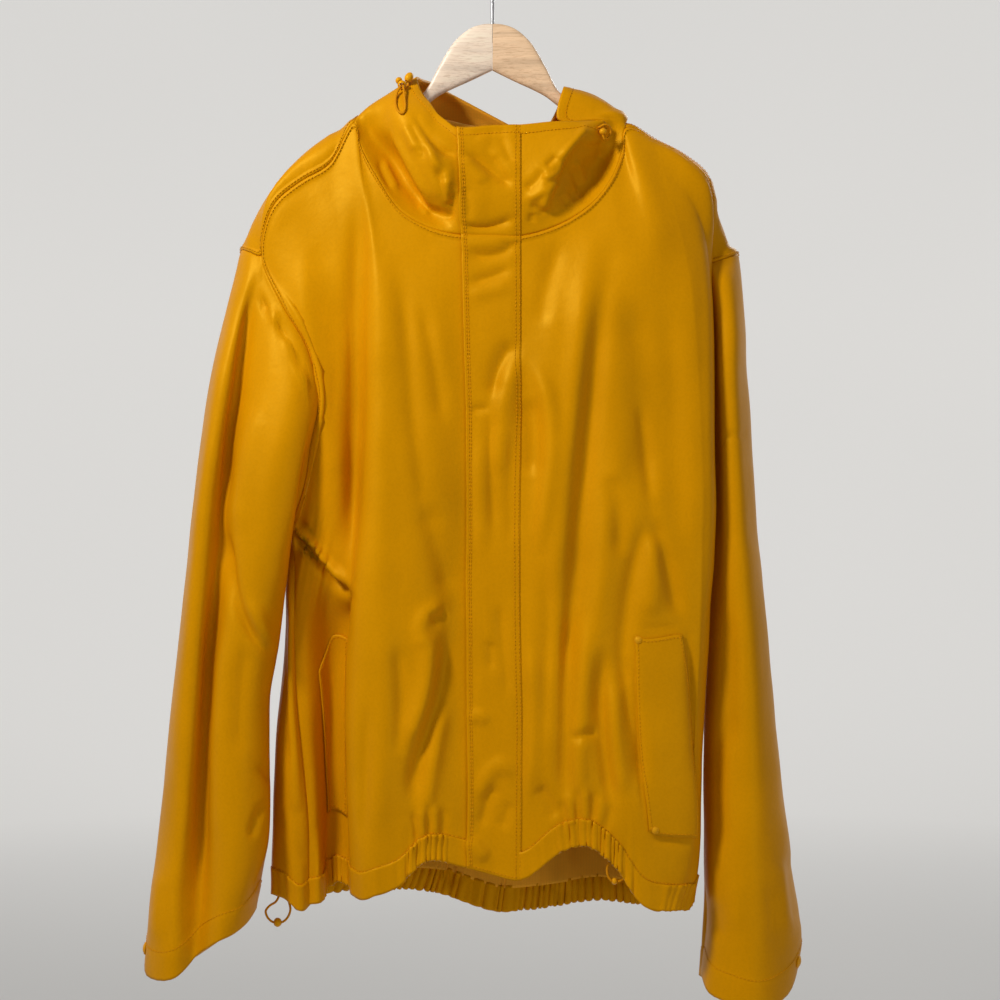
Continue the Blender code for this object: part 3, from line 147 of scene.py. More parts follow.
# Drawcords: the route of each cord's centre line, whose ends stop just clear of the cloth
CORD = 2.3               # diameter
CORD_FINE = 0.55         # between the rings of a cord
BRAID = 5.2              # length of one turn of a strand round the cord
BRAID_SIDES = 16
CORDS = {
    "hood_cord_right": [
        (-89.5, -20.5, -139.5), (-88.6, -22.5, -141.2), (-86.75, -26.8, -144.8), (-86.75, -31.6, -148.4),
        (-90.2, -34.4, -156.0), (-90.6, -41.9, -168.0), (-87.5, -46.9, -175.3), (-84.0, -48.3, -177.0),
        (-81.8, -46.9, -173.2), (-82.4, -39.2, -161.0), (-84.05, -31.6, -148.4), (-84.05, -26.8, -144.8),
        (-81.4, -25.1, -143.1), (-79.1, -23.5, -138.5), (-77.4, -22.3, -135.0)],
    "hood_cord_left": [
        (99.7, -39.2, -188.9), (101.0, -41.2, -188.5), (105.5, -43.0, -186.8), (110.0, -41.0, -188.5),
        (111.3, -38.2, -193.0), (109.2, -38.2, -198.2), (105.6, -40.6, -199.8), (104.0, -41.5, -196.8),
        (104.0, -41.5, -189.6)],
    "hem_cord_right": [
        (-204.1, -13.3, -906.5), (-203.0, -11.6, -906.8), (-203.6, -10.2, -911.0), (-204.0, -9.5, -917.0),
        (-207.0, -9.5, -922.5), (-212.5, -10.0, -926.0), (-216.3, -10.5, -931.0), (-214.3, -10.5, -937.5),
        (-209.6, -10.5, -941.5), (-205.0, -10.5, -941.9), (-200.4, -10.5, -941.5), (-195.7, -10.5, -937.5),
        (-192.8, -11.0, -930.0), (-194.3, -12.5, -920.5), (-196.0, -14.5, -913.0), (-195.9, -17.0, -908.8),
        (-196.9, -18.8, -908.5)],
    "hem_cord_left": [
        (111.8, -84.7, -869.3), (111.3, -82.0, -869.5), (108.5, -79.0, -872.0), (106.0, -78.0, -877.0),
        (106.4, -78.0, -884.5), (109.6, -78.0, -889.3), (112.6, -78.0, -889.9), (115.6, -78.0, -890.3),
        (120.0, -78.0, -888.5), (121.5, -79.0, -884.5), (120.6, -81.0, -881.0), (120.3, -83.4, -880.6)],
}
# Beads and the lock on the cords: name, middle, axis, radius, half length, radius of the hole
BEADS = [
    ("hood_bead_right_a", (-88.6, -22.5, -141.2), (-0.31, 0.73, 0.61), 3.4, 3.0, 1.6),
    ("hood_bead_right_b", (-79.1, -23.5, -138.5), (0.43, 0.3, 0.85), 4.0, 5.4, 1.7),
    ("hood_lock_right", (-85.4, -29.2, -146.6), (0, 0.8, 0.6), 4.4, 3.0, 2.9),
    ("hood_bead_left", (104.0, -41.5, -193.0), (0, 0, 1), 3.6, 3.2, 1.6),
    ("hem_bead_right", (-205.0, -10.5, -941.8), (1, 0, 0), 4.4, 4.0, 1.9),
    ("hem_bead_left", (112.6, -78.0, -889.8), (1, 0, -0.12), 3.2, 2.8, 1.7),
]

# Pieces whose top seam is sewn down in a band
WELTED = ("front_right", "front_left", "back")
# Rows of stitches: piece, edge that they follow, distance from it, height above the cloth
STITCHED = [
    ("front_right", "foot", 26.5, 0.3), ("front_left", "foot", 26.5, 0.3), ("back", "foot", 26.5, 0.3),
    ("sleeve_right", "foot", 26.5, 0.3), ("sleeve_left", "foot", 26.5, 0.3),
    ("front_right", "top", 4.1, 0.25), ("front_left", "top", 4.1, 0.25), ("back", "top", 4.1, 0.25),
    ("hood_right", "foot", 9.0, 0.3), ("hood_left", "foot", 9.0, 0.3),
    ("storm_flap", "first", 3.0, 0.0), ("storm_flap", "first", 5.0, 0.0), ("storm_flap", "last", 1.6, 0.0),
    ("storm_flap", "last", 5.4, 0.0), ("storm_flap", "top", 7.5, 0.0), ("storm_flap", "foot", 3.0, 0.0),
]
STITCHED += [("pocket_flap_" + side, edge, 2.6, 0.0)
             for side in POCKET_FLAPS for edge in ("first", "last", "top", "foot")]
# Ripples of the hem bands: shares of their distance, height and width, and what they fade in over
RIPPLE_STEPS, RIPPLE_SIZES, RIPPLE_WIDTH, RIPPLE_EASE = (0.75, 1.3), (0.5, 1.1), 0.3, 8.0
# Gathers drawn up in the hem bands: from x, to x, distance between ripples, their height
GATHERED = {
    "front_right": [(-84, -38, 5.2, 2.8), (-168, -130, 5.0, 2.2), (-215, 40, 14, 0.9)],
    "front_left": [(56, 122, 5.6, 3.0), (150, 190, 6.5, 1.8), (0, 215, 14, 0.9)],
    "back": [(-160, -50, 6.6, 3.4), (20, 165, 6.2, 4.2), (-240, 240, 12, 1.6)],
}

# Stage: the floor's height, and the room's radius, sweep and wall height
FLOOR = -1400.0
ROOM, SWEEP, ROOM_HEIGHT = 5200.0, 1500.0, 4200.0
GLOW = (0.17, 0.66)      # light that the pale room gives of itself, before and behind the coat
ROOM_COLOUR = (0.80, 0.79, 0.77)
# Lamps, in metres and watts: name, place, what it points at, size, power, colour
LAMPS = [
    ("key", (-1.0, -1.0, 0.62), (0, 0, -0.35), 0.34, 25, (1.0, 0.98, 0.95)),
    ("fill", (1.3, -1.9, -0.8), (0, 0, -0.6), 1.0, 6, (1, 1, 1)),
    ("rear", (1.2, 1.5, 0.8), (0, 0, -0.4), 0.8, 14, (1, 1, 1)),
]
SKY, SKY_STRENGTH = (1.0, 0.99, 0.97, 1), 0.2


# ---- ribs: name, columns to the next rib, points (x, y, z) from the top seam down -----------------

# Wearer's right front, from the front edge round the deep fold to the side seam
FRONT_RIGHT = [
    ("zip", 2, [(-1, -50, -292), (-2, -58, -381), (-2, -62, -446), (-1, -68, -632), (-1, -72, -779),
        (1, -74, -885)]),
    ("under_flap", 2, [(-29, -50, -291), (-27, -57, -381), (-25, -61, -446), (-24, -68, -632),
        (-23, -73, -779), (-24, -77, -878)]),
    ("breast", 2, [(-58, -48, -284), (-52, -62, -381), (-50, -67, -446), (-52, -78, -631),
        (-57, -84, -778), (-61, -84, -872)]),
    ("mid_breast", 2, [(-87, -45, -267), (-78, -62, -372), (-78, -70, -446), (-81, -84, -631),
        (-86, -90, -777), (-87, -88, -894)]),
    ("crest_in", 2, [(-110, -38, -233), (-101, -60, -353), (-102, -68, -446), (-105, -84, -631),
        (-110, -90, -777), (-108, -90, -902)]),
    ("crest", 2, [(-125, -30, -204), (-115, -50, -286), (-116, -62, -446), (-120, -68, -539),
        (-123, -79, -631), (-126, -85, -778), (-118, -86, -906)]),
    ("neck_r", 2, [(-131, -25, -182), (-126, -42, -257), (-127, -46, -445), (-129, -42, -539),
        (-129, -62, -624), (-134, -68, -698), (-134, -72, -779), (-128, -74, -904)]),
    ("mid_r", 1, [(-154, -27, -221), (-142, -42, -304), (-134, -43, -379), (-131, -42, -445),
        (-133, -38, -539), (-134, -44, -623), (-134, -20, -649), (-136, -10, -730), (-137, -8, -864),
        (-136, -12, -908)]),
    ("slope_r", 1, [(-182, -27, -238), (-159, -43, -316), (-142, -44, -379), (-135, -44, -445),
        (-137, -40, -539), (-140, -42, -617), (-140, -18, -643), (-142, -5, -730), (-143, -4, -865),
        (-142, -10, -906)]),
    ("fold_r", 1, [(-207, -29, -261), (-175, -43, -323), (-148, -45, -384), (-139, -46, -445),
        (-141, -42, -539), (-147, -41, -610), (-147, -16, -638), (-149, -2, -731), (-150, -3, -865),
        (-148, -8, -904)]),
    ("tip_r", 2, [(-218, -26, -307), (-188, -40, -341), (-162, -45, -377), (-148, -46, -411),
        (-143, -47, -445), (-144, -45, -492), (-147, -42, -539), (-154, -40, -603), (-154, -15, -631),
        (-156, -2, -731), (-156, -3, -865), (-153, -8, -908)]),
    ("arm_a", 1, [(-197, -40, -356), (-185, -43, -360), (-167, -45, -380), (-154, -46, -409),
        (-147, -46, -445), (-149, -44, -492), (-153, -42, -539), (-160, -39, -595), (-161, -14, -625),
        (-161, -6, -730), (-160, -6, -864), (-158, -10, -908)]),
    ("arm_b", 1, [(-174, -44, -395), (-164, -46, -399), (-156, -46, -418), (-152, -45, -445),
        (-153, -44, -492), (-159, -42, -539), (-167, -37, -588), (-167, -14, -621), (-166, -16, -729),
        (-162, -16, -843), (-161, -18, -917)]),
    ("arm_c", 1, [(-163, -46, -445), (-158, -47, -448), (-156, -46, -461), (-158, -45, -487),
        (-164, -42, -530), (-171, -38, -562), (-173, -34, -588), (-172, -20, -619), (-170, -26, -728),
        (-163, -26, -842), (-163, -24, -920)]),
    ("arm_d", 1, [(-170, -42, -483), (-166, -44, -489), (-167, -42, -515), (-170, -40, -539),
        (-178, -35, -572), (-178, -27, -605), (-175, -29, -671), (-174, -31, -728), (-165, -31, -841),
        (-166, -26, -921)]),
    ("arm_e", 1, [(-176, -37, -522), (-174, -38, -530), (-176, -37, -549), (-181, -34, -572),
        (-184, -29, -600), (-181, -30, -671), (-179, -30, -728), (-168, -29, -841), (-169, -24, -922)]),
    ("side_seam", 0, [(-190, -28, -565), (-189, -28, -575), (-187, -26, -596), (-187, -27, -671),
        (-185, -28, -728), (-174, -27, -842), (-174, -22, -923)]),
]

# Wearer's left front, from the front edge to the side seam
FRONT_LEFT = [
    ("zip", 2, [(-1, -50, -292), (-2, -58, -381), (-2, -62, -446), (-1, -68, -632), (-1, -72, -779),
        (1, -74, -885)]),
    ("flap_seam", 2, [(27, -50, -292), (27, -60, -381), (27, -64, -446), (26, -70, -631),
        (28, -74, -751), (27, -78, -889)]),
    ("breast", 2, [(63, -48, -281), (59, -66, -381), (58, -70, -446), (56, -76, -631), (55, -80, -760),
        (64, -82, -863)]),
    ("bust", 2, [(92, -44, -262), (92, -66, -353), (92, -68, -446), (88, -76, -631), (88, -80, -760),
        (87, -84, -858)]),
    ("mid", 2, [(111, -38, -238), (120, -64, -335), (124, -70, -446), (120, -78, -631),
        (118, -82, -760), (112, -86, -876)]),
    ("outer_breast", 2, [(123, -28, -208), (145, -60, -316), (150, -68, -446), (137, -77, -631),
        (137, -80, -723), (142, -84, -851), (141, -86, -913)]),
    ("neck_l", 2, [(127, -23, -186), (132, -32, -207), (148, -45, -253), (164, -56, -315),
        (176, -64, -446), (174, -72, -631), (178, -74, -724), (183, -73, -853), (166, -79, -918)]),
    ("mid_l", 1, [(156, -16, -198), (155, -23, -201), (157, -28, -212), (165, -38, -247),
        (181, -50, -314), (191, -60, -446), (193, -67, -594), (191, -68, -724), (189, -67, -854),
        (173, -74, -918)]),
    ("slope_l", 1, [(183, -18, -213), (182, -25, -216), (184, -30, -229), (195, -40, -285),
        (202, -56, -446), (203, -61, -595), (197, -62, -725), (193, -61, -855), (180, -68, -919)]),
    ("fold_l", 1, [(204, -19, -234), (205, -27, -247), (206, -38, -290), (208, -50, -445),
        (209, -54, -595), (201, -55, -725), (194, -54, -856), (185, -60, -913)]),
    ("tip_l", 1, [(205, -16, -312), (207, -26, -326), (208, -34, -360), (207, -38, -445),
        (206, -40, -595), (199, -42, -727), (191, -42, -858), (183, -50, -916)]),
    ("arm_a", 1, [(204, -16, -377), (200, -22, -385), (200, -25, -416), (199, -26, -520),
        (198, -26, -596), (193, -28, -728), (188, -29, -860), (181, -38, -918)]),
    ("arm_b", 1, [(200, -10, -472), (195, -14, -481), (194, -15, -529), (193, -14, -596),
        (189, -14, -729), (186, -15, -863), (181, -24, -921)]),
    ("arm_c", 1, [(197, -9, -539), (195, -10, -547), (192, -10, -568), (191, -9, -596), (189, -7, -730),
        (186, -10, -864), (181, -16, -923)]),
    ("side_seam", 0, [(196, 2, -568), (196, 2, -577), (192, 2, -598), (190, 3, -635), (189, 1, -731),
        (186, -2, -865), (181, -8, -923)]),
]

# Back: rib, columns to the next, share of the way across from right to left (None where the rib
# gives its whole length), points from the top seam down
BACK = [
    ("side_seam_r", 1, None, [(-190, -28, -565), (-189, -28, -575), (-187, -26, -596),
        (-187, -27, -671), (-185, -28, -728), (-174, -27, -842), (-174, -22, -923)]),
    ("ridge", 1, None, [(-194, -16, -550), (-193, -17, -559), (-191, -20, -577), (-192, -21, -596),
        (-192, -31, -671), (-192, -34, -727), (-184, -34, -841), (-181, -28, -928)]),
    ("ridge_out", 1, None, [(-199, -4, -535), (-196, -5, -544), (-194, -8, -568), (-195, -10, -596),
        (-198, -21, -672), (-200, -25, -728), (-197, -27, -842), (-195, -22, -918)]),
    ("side_r", 1, None, [(-204, 8, -518), (-199, 9, -528), (-196, 8, -558), (-196, 3, -597),
        (-199, -4, -673), (-205, -8, -749), (-209, -10, -844), (-210, -10, -915)]),
    ("arm_back_a", 1, 0.03, [(-220, 22, -442), (-214, 25, -453)]),
    ("arm_back_b", 1, 0.06, [(-234, 22, -364), (-227, 25, -375)]),
    ("arm_back_c", 1, 0.09, [(-240, 10, -315), (-231, 22, -333)]),
    ("arm_back_d", 1, 0.12, [(-240, -4, -300), (-240, 4, -296), (-235, 15, -309), (-224, 23, -335)]),
    ("arm_back_e", 2, 0.15, [(-231, -18, -303), (-235, -10, -287), (-236, 0, -280), (-229, 13, -293),
        (-212, 23, -330)]),
    ("tip_r", 1, 0.19, [(-218, -26, -307), (-225, -18, -275), (-225, -8, -256), (-222, 4, -254),
        (-213, 15, -273), (-199, 23, -308)]),
    ("fold_r", 1, 0.22, [(-207, -29, -261), (-211, -27, -246), (-211, -15, -235), (-208, -2, -236),
        (-203, 10, -249), (-194, 19, -277)]),
    ("slope_r", 1, 0.27, [(-182, -27, -238), (-182, -26, -222), (-183, -22, -212), (-183, -13, -207),
        (-182, 2, -210), (-179, 18, -248)]),
    ("mid_r", 2, 0.32, [(-154, -27, -221), (-154, -26, -205), (-154, -20, -196), (-155, -11, -191),
        (-154, 3, -196), (-152, 18, -239)]),
    ("neck_r", 1, 0.355, [(-131, -25, -182), (-132, -20, -178), (-133, -11, -176), (-133, 0, -177),
        (-133, 10, -188), (-130, 18, -224)]),
    ("neck_top_r", 2, 0.375, [(-128, -11, -174), (-128, -3, -174), (-128, 8, -186), (-127, 19, -221)]),
    ("nape_r", 1, 0.395, [(-120, 7, -172), (-119, 13, -186), (-117, 20, -221)]),
    ("nape_rm", 3, 0.415, [(-95, 13, -178), (-95, 18, -192), (-95, 21, -221)]),
    ("nape_rr", 2, 0.45, [(-65, 17, -179), (-66, 22, -209)]),
    ("nape", 2, 0.5, [(0, 22, -183), (0, 26, -218)]),
    ("nape_ll", 3, 0.56, [(62, 18, -181), (65, 24, -213)]),
    ("nape_lm", 1, 0.58, [(94, 13, -180), (94, 18, -195), (95, 22, -223)]),
    ("nape_l", 2, 0.6, [(115, 8, -177), (115, 14, -191), (115, 20, -224)]),
    ("neck_top_l", 1, 0.625, [(124, -10, -177), (124, -2, -177), (125, 8, -188), (125, 19, -224)]),
    ("neck_l", 2, 0.645, [(127, -23, -186), (128, -18, -182), (129, -10, -180), (130, 1, -182),
        (132, 10, -191), (134, 18, -224)]),
    ("mid_l", 1, 0.68, [(156, -16, -198), (156, -9, -197), (157, 4, -202), (158, 17, -237)]),
    ("slope_l", 1, 0.73, [(183, -18, -213), (184, -10, -212), (185, 3, -218), (185, 17, -253)]),
    ("fold_l", 1, 0.78, [(204, -19, -234), (209, -12, -236), (213, 0, -241), (207, 18, -277)]),
    ("tip_l", 1, 0.81, [(205, -16, -312), (214, -15, -302), (219, -9, -284), (220, 2, -277),
        (214, 14, -291), (195, 22, -323)]),
    ("arm_back_v", 1, 0.84, [(218, -17, -310), (224, -13, -300), (227, -4, -291), (226, 7, -294),
        (216, 16, -312), (198, 22, -342)]),
    ("arm_back_w", 1, 0.87, [(230, -10, -305), (232, -4, -299), (231, 4, -300), (225, 13, -313),
        (207, 21, -343)]),
    ("arm_back_x", 1, 0.9, [(235, -1, -303), (234, 7, -305), (227, 15, -320), (210, 22, -352)]),
    ("arm_back_y", 1, 0.93, [(231, 14, -331), (222, 21, -357)]),
    ("arm_back_z", 1, 0.955, [(219, 22, -413), (211, 26, -428)]),
    ("arm_back_zz", 1, 0.972, [(207, 20, -510), (204, 22, -521)]),
    ("arm_back_zy", 1, 0.987, [(202, 13, -550), (200, 15, -561), (195, 18, -582)]),
    ("side_seam_l", 0, None, [(196, 2, -568), (196, 2, -577), (192, 2, -598), (190, 3, -635),
        (189, 1, -731), (186, -2, -865), (181, -8, -923)]),
]

# Levels of the back below its shaped top: height, wearer's right and left edge (x), depth (y) in the
# middle and at the edges
BACK_LEVELS = [
    (-420, -212, 204, 34, 26),
    (-560, -206, 200, 38, 26),
    (-720, -204, 194, 38, 24),
    (-840, -206, 188, 32, 18),
]
# Lower edge of the back, from the wearer's right to the left
BACK_HEM = [(-203, 14, -920), (-178, 22, -922), (-140, 26, -920), (-100, 24, -918), (-50, 24, -922),
            (0, 22, -938), (48, 22, -936), (100, 22, -928), (148, 18, -932), (182, 4, -926)]

# Sleeves: rings that close on themselves, from the underarm seam round the front
SLEEVE_RIGHT = [
    ("underarm", 1, [(-190, -28, -565), (-201, -23, -570), (-210, -10, -585), (-214, 0, -616),
        (-215, 5, -647), (-216, 4, -688), (-218, 0, -731), (-219, -8, -864), (-224, -14, -913),
        (-229, -16, -929)]),
    ("arm_e", 1, [(-176, -37, -522), (-183, -43, -529), (-189, -46, -558), (-195, -34, -605),
        (-199, -28, -633), (-203, -25, -676), (-211, -26, -728), (-212, -30, -860), (-221, -30, -898),
        (-224, -30, -924)]),
    ("arm_d", 1, [(-170, -42, -483), (-177, -54, -502), (-186, -56, -559), (-195, -48, -623),
        (-203, -45, -680), (-212, -46, -731), (-213, -50, -857), (-225, -50, -904), (-230, -48, -934)]),
    ("arm_c", 1, [(-163, -46, -445), (-172, -58, -470), (-193, -64, -567), (-205, -62, -623),
        (-214, -59, -678), (-222, -58, -730), (-225, -62, -855), (-234, -62, -911), (-242, -60, -943)]),
    ("arm_b", 1, [(-174, -44, -395), (-184, -62, -441), (-206, -69, -520), (-217, -68, -576),
        (-223, -66, -622), (-231, -64, -678), (-236, -64, -729), (-239, -66, -854), (-247, -66, -910),
        (-253, -64, -948)]),
    ("arm_a", 2, [(-197, -40, -356), (-209, -55, -432), (-223, -61, -500), (-234, -61, -548),
        (-242, -60, -632), (-252, -58, -725), (-257, -58, -855), (-259, -60, -916), (-262, -60, -954)]),
    ("tip_r", 2, [(-218, -26, -307), (-222, -31, -336), (-241, -36, -431), (-251, -38, -499),
        (-255, -38, -545), (-260, -38, -622), (-268, -40, -727), (-273, -40, -858), (-275, -42, -925),
        (-278, -46, -967)]),
    ("arm_back_e", 1, [(-231, -18, -303), (-233, -28, -334), (-252, -42, -431), (-263, -48, -500),
        (-269, -50, -545), (-275, -50, -621), (-282, -52, -726), (-291, -54, -856), (-299, -56, -922),
        (-298, -58, -985)]),
    ("arm_back_d", 1, [(-240, -4, -300), (-246, -8, -331), (-265, -16, -429), (-275, -22, -499),
        (-281, -24, -546), (-288, -26, -622), (-299, -28, -728), (-314, -32, -860), (-321, -36, -926),
        (-324, -38, -986)]),
    ("arm_back_c", 1, [(-240, 10, -315), (-247, 16, -345), (-268, 17, -428), (-278, 14, -498),
        (-284, 12, -546), (-292, 8, -624), (-303, 4, -731), (-317, -4, -865), (-324, -8, -932),
        (-328, -12, -973)]),
    ("arm_back_b", 1, [(-234, 22, -364), (-251, 38, -426), (-264, 42, -509), (-272, 42, -559),
        (-279, 40, -627), (-290, 36, -734), (-304, 26, -870), (-309, 22, -938), (-314, 18, -983)]),
    ("arm_back_a", 1, [(-220, 22, -442), (-236, 44, -485), (-244, 50, -539), (-248, 52, -578),
        (-254, 52, -637), (-264, 48, -736), (-277, 38, -872), (-284, 32, -940), (-287, 28, -972)]),
    ("side_r", 1, [(-204, 8, -518), (-214, 20, -526), (-221, 34, -551), (-226, 41, -583),
        (-230, 43, -637), (-236, 41, -696), (-241, 36, -744), (-248, 25, -869), (-253, 18, -926),
        (-256, 14, -955)]),
    ("ridge_out", 1, [(-199, -4, -535), (-208, 6, -543), (-217, 20, -568), (-221, 28, -597),
        (-224, 32, -646), (-228, 29, -705), (-232, 23, -753), (-234, 14, -868), (-240, 8, -918),
        (-243, 4, -943)]),
    ("ridge", 1, [(-194, -16, -550), (-204, -8, -557), (-213, 6, -579), (-217, 16, -611),
        (-219, 19, -650), (-221, 18, -694), (-224, 13, -732), (-227, 4, -866), (-232, -2, -916),
        (-235, -4, -935)]),
]

# Wearer's left sleeve, likewise
SLEEVE_LEFT = [
    ("underarm", 1, [(196, 2, -568), (203, 6, -575), (207, 10, -611), (208, 10, -655), (205, 6, -731),
        (203, -4, -826), (203, -15, -920), (197, -20, -990)]),
    ("arm_c", 1, [(197, -9, -539), (204, -10, -546), (208, -6, -596), (207, -6, -673), (204, -12, -768),
        (203, -20, -881), (205, -22, -936), (198, -26, -989)]),
    ("arm_b", 1, [(200, -10, -472), (206, -13, -483), (208, -15, -539), (207, -16, -596),
        (205, -18, -672), (202, -22, -767), (202, -27, -880), (204, -30, -936), (198, -34, -987)]),
    ("arm_a", 1, [(204, -16, -377), (210, -22, -388), (213, -29, -444), (214, -34, -520),
        (214, -38, -595), (211, -40, -689), (207, -43, -783), (206, -50, -876), (207, -52, -941),
        (203, -54, -999)]),
    ("tip_l", 1, [(205, -16, -312), (211, -30, -331), (216, -37, -369), (220, -43, -464),
        (222, -47, -539), (223, -49, -595), (224, -52, -688), (223, -56, -781), (224, -62, -873),
        (224, -64, -947), (224, -66, -1006)]),
    ("arm_back_v", 1, [(218, -17, -310), (223, -30, -333), (227, -38, -374), (230, -44, -464),
        (233, -48, -539), (234, -50, -595), (240, -54, -688), (243, -58, -781), (246, -64, -873),
        (247, -66, -947), (247, -68, -1011)]),
    ("arm_back_w", 1, [(230, -10, -305), (234, -17, -331), (238, -21, -378), (244, -26, -463),
        (249, -30, -539), (251, -31, -596), (258, -35, -690), (265, -39, -783), (274, -43, -877),
        (279, -45, -942), (275, -47, -1002)]),
    ("arm_back_x", 1, [(235, -1, -303), (238, 1, -328), (243, 2, -376), (250, 1, -462), (254, -2, -539),
        (257, -4, -596), (264, -8, -692), (273, -11, -787), (285, -15, -882), (294, -17, -953),
        (289, -19, -984)]),
    ("arm_back_y", 1, [(231, 14, -331), (238, 22, -345), (244, 29, -393), (249, 33, -490),
        (253, 32, -558), (257, 30, -636), (264, 26, -733), (275, 20, -830), (286, 14, -916),
        (290, 8, -987)]),
    ("arm_back_z", 1, [(219, 22, -413), (228, 33, -424), (234, 42, -470), (236, 46, -568),
        (237, 46, -637), (241, 42, -735), (246, 36, -832), (251, 28, -928), (252, 20, -1014)]),
    ("arm_back_zz", 1, [(207, 20, -510), (215, 32, -520), (219, 42, -568), (219, 44, -637),
        (220, 40, -735), (222, 32, -832), (222, 22, -927), (219, 14, -1008)]),
    ("arm_back_zy", 1, [(202, 13, -550), (210, 22, -558), (214, 32, -597), (214, 33, -656),
        (213, 28, -734), (213, 18, -830), (213, 8, -924), (209, -1, -1001)]),
]

# Hood halves, from the front edge to the centre back seam, and up from the neckline
HOOD_RIGHT = [
    ("zip", 2, [(-1, -50, -292), (-1, -54, -259), (-1, -52, -221), (-1, -48, -189)]),
    ("under_flap", 2, [(-29, -50, -291), (-31, -56, -259), (-32, -56, -222), (-33, -49, -191)]),
    ("breast", 2, [(-58, -48, -284), (-51, -40, -270), (-46, -52, -264), (-43, -62, -247),
        (-41, -56, -213), (-43, -46, -184)]),
    ("mid_breast", 2, [(-87, -45, -267), (-75, -32, -250), (-66, -50, -245), (-58, -61, -223),
        (-53, -50, -193), (-51, -42, -177)]),
    ("crest_in", 2, [(-110, -38, -233), (-97, -22, -215), (-86, -44, -210), (-75, -53, -193),
        (-64, -44, -175), (-59, -34, -165)]),
    ("crest", 2, [(-125, -30, -204), (-116, -21, -190), (-104, -32, -184), (-91, -40, -170),
        (-76, -34, -160), (-66, -26, -155)]),
    ("neck_r", 1, [(-131, -25, -182), (-126, -20, -175), (-118, -22, -168), (-106, -24, -160),
        (-90, -19, -148), (-72, -12, -137)]),
    ("neck_top_r", 2, [(-128, -11, -174), (-119, -5, -166), (-105, 1, -157), (-90, 6, -149),
        (-66, 8, -135)]),
    ("nape_r", 1, [(-120, 7, -172), (-112, 16, -162), (-98, 22, -152), (-80, 25, -142), (-58, 28, -134)]),
    ("nape_rm", 3, [(-95, 13, -178), (-98, 22, -170), (-94, 29, -160), (-84, 33, -150), (-70, 38, -142),
        (-50, 43, -136)]),
    ("nape_rr", 2, [(-65, 17, -179), (-64, 26, -167), (-63, 33, -170), (-62, 39, -200), (-61, 42, -280),
        (-58, 60, -338), (-55, 80, -290), (-51, 81, -200), (-43, 70, -150), (-37, 60, -140)]),
    ("nape", 0, [(0, 22, -183), (0, 32, -177), (1, 41, -182), (2, 45, -240), (2, 48, -350),
        (2, 67, -425), (2, 88, -350), (2, 88, -240), (10, 80, -180), (18, 72, -167)]),
]

# Wearer's left half, likewise
HOOD_LEFT = [
    ("zip", 2, [(-1, -50, -292), (-1, -54, -259), (-1, -52, -221), (-1, -48, -189)]),
    ("flap_seam", 2, [(27, -50, -292), (27, -56, -259), (27, -56, -222), (27, -48, -188)]),
    ("breast", 2, [(63, -48, -281), (60, -48, -269), (56, -56, -257), (53, -61, -240), (54, -57, -213),
        (56, -47, -185)]),
    ("bust", 2, [(92, -44, -262), (84, -30, -244), (76, -38, -233), (71, -56, -220), (74, -55, -203),
        (79, -43, -184)]),
    ("mid", 2, [(111, -38, -238), (101, -20, -218), (93, -34, -209), (88, -48, -204), (88, -49, -195),
        (90, -39, -183)]),
    ("outer_breast", 2, [(123, -28, -208), (115, -23, -198), (110, -24, -190), (108, -30, -186),
        (104, -35, -182)]),
    ("neck_l", 1, [(127, -23, -186), (121, -24, -182), (114, -25, -180), (106, -28, -180),
        (92, -28, -182)]),
    ("neck_top_l", 2, [(124, -10, -177), (128, -13, -175), (125, -20, -174), (113, -25, -172),
        (90, -27, -176), (62, -27, -179)]),
    ("nape_l", 1, [(115, 8, -177), (122, 5, -171), (124, -3, -168), (118, -11, -166), (109, -16, -162),
        (88, -18, -154), (67, -17, -148)]),
    ("nape_lm", 3, [(94, 13, -180), (99, 22, -172), (98, 26, -162), (90, 25, -153), (79, 16, -148),
        (69, 4, -147)]),
    ("nape_ll", 2, [(62, 18, -181), (64, 27, -176), (64, 33, -180), (63, 39, -205), (62, 42, -285),
        (59, 60, -342), (56, 80, -295), (54, 81, -215), (50, 72, -184), (46, 64, -175)]),
    ("nape", 0, [(0, 22, -183), (0, 32, -177), (1, 41, -182), (2, 45, -240), (2, 48, -350),
        (2, 67, -425), (2, 88, -350), (2, 88, -240), (10, 80, -180), (18, 72, -167)]),
]

# Gathers in the turned edges: rib that they start from, waves to the next rib, depth
FRONT_RIGHT_GATHERS = [("breast", 3, 1.6), ("mid_r", 1, 1.2), ("slope_r", 1, 1.2), ("fold_r", 1, 1.2)]
FRONT_LEFT_GATHERS = [("breast", 3, 1.8), ("bust", 2, 1.6), ("mid", 3, 1.4)]
BACK_GATHERS = [("slope_r", 2, 1.8), ("mid_r", 2, 1.6), ("nape_rm", 3, 1.6), ("nape_rr", 3, 1.8),
                ("nape", 3, 1.4), ("nape_ll", 2, 1.8), ("neck_l", 2, 1.6), ("mid_l", 2, 1.8)]
FLAP_FREE_EDGE, FLAP_SEAM = "under_flap", "flap_seam"     # ribs that the storm flap's edges lie on

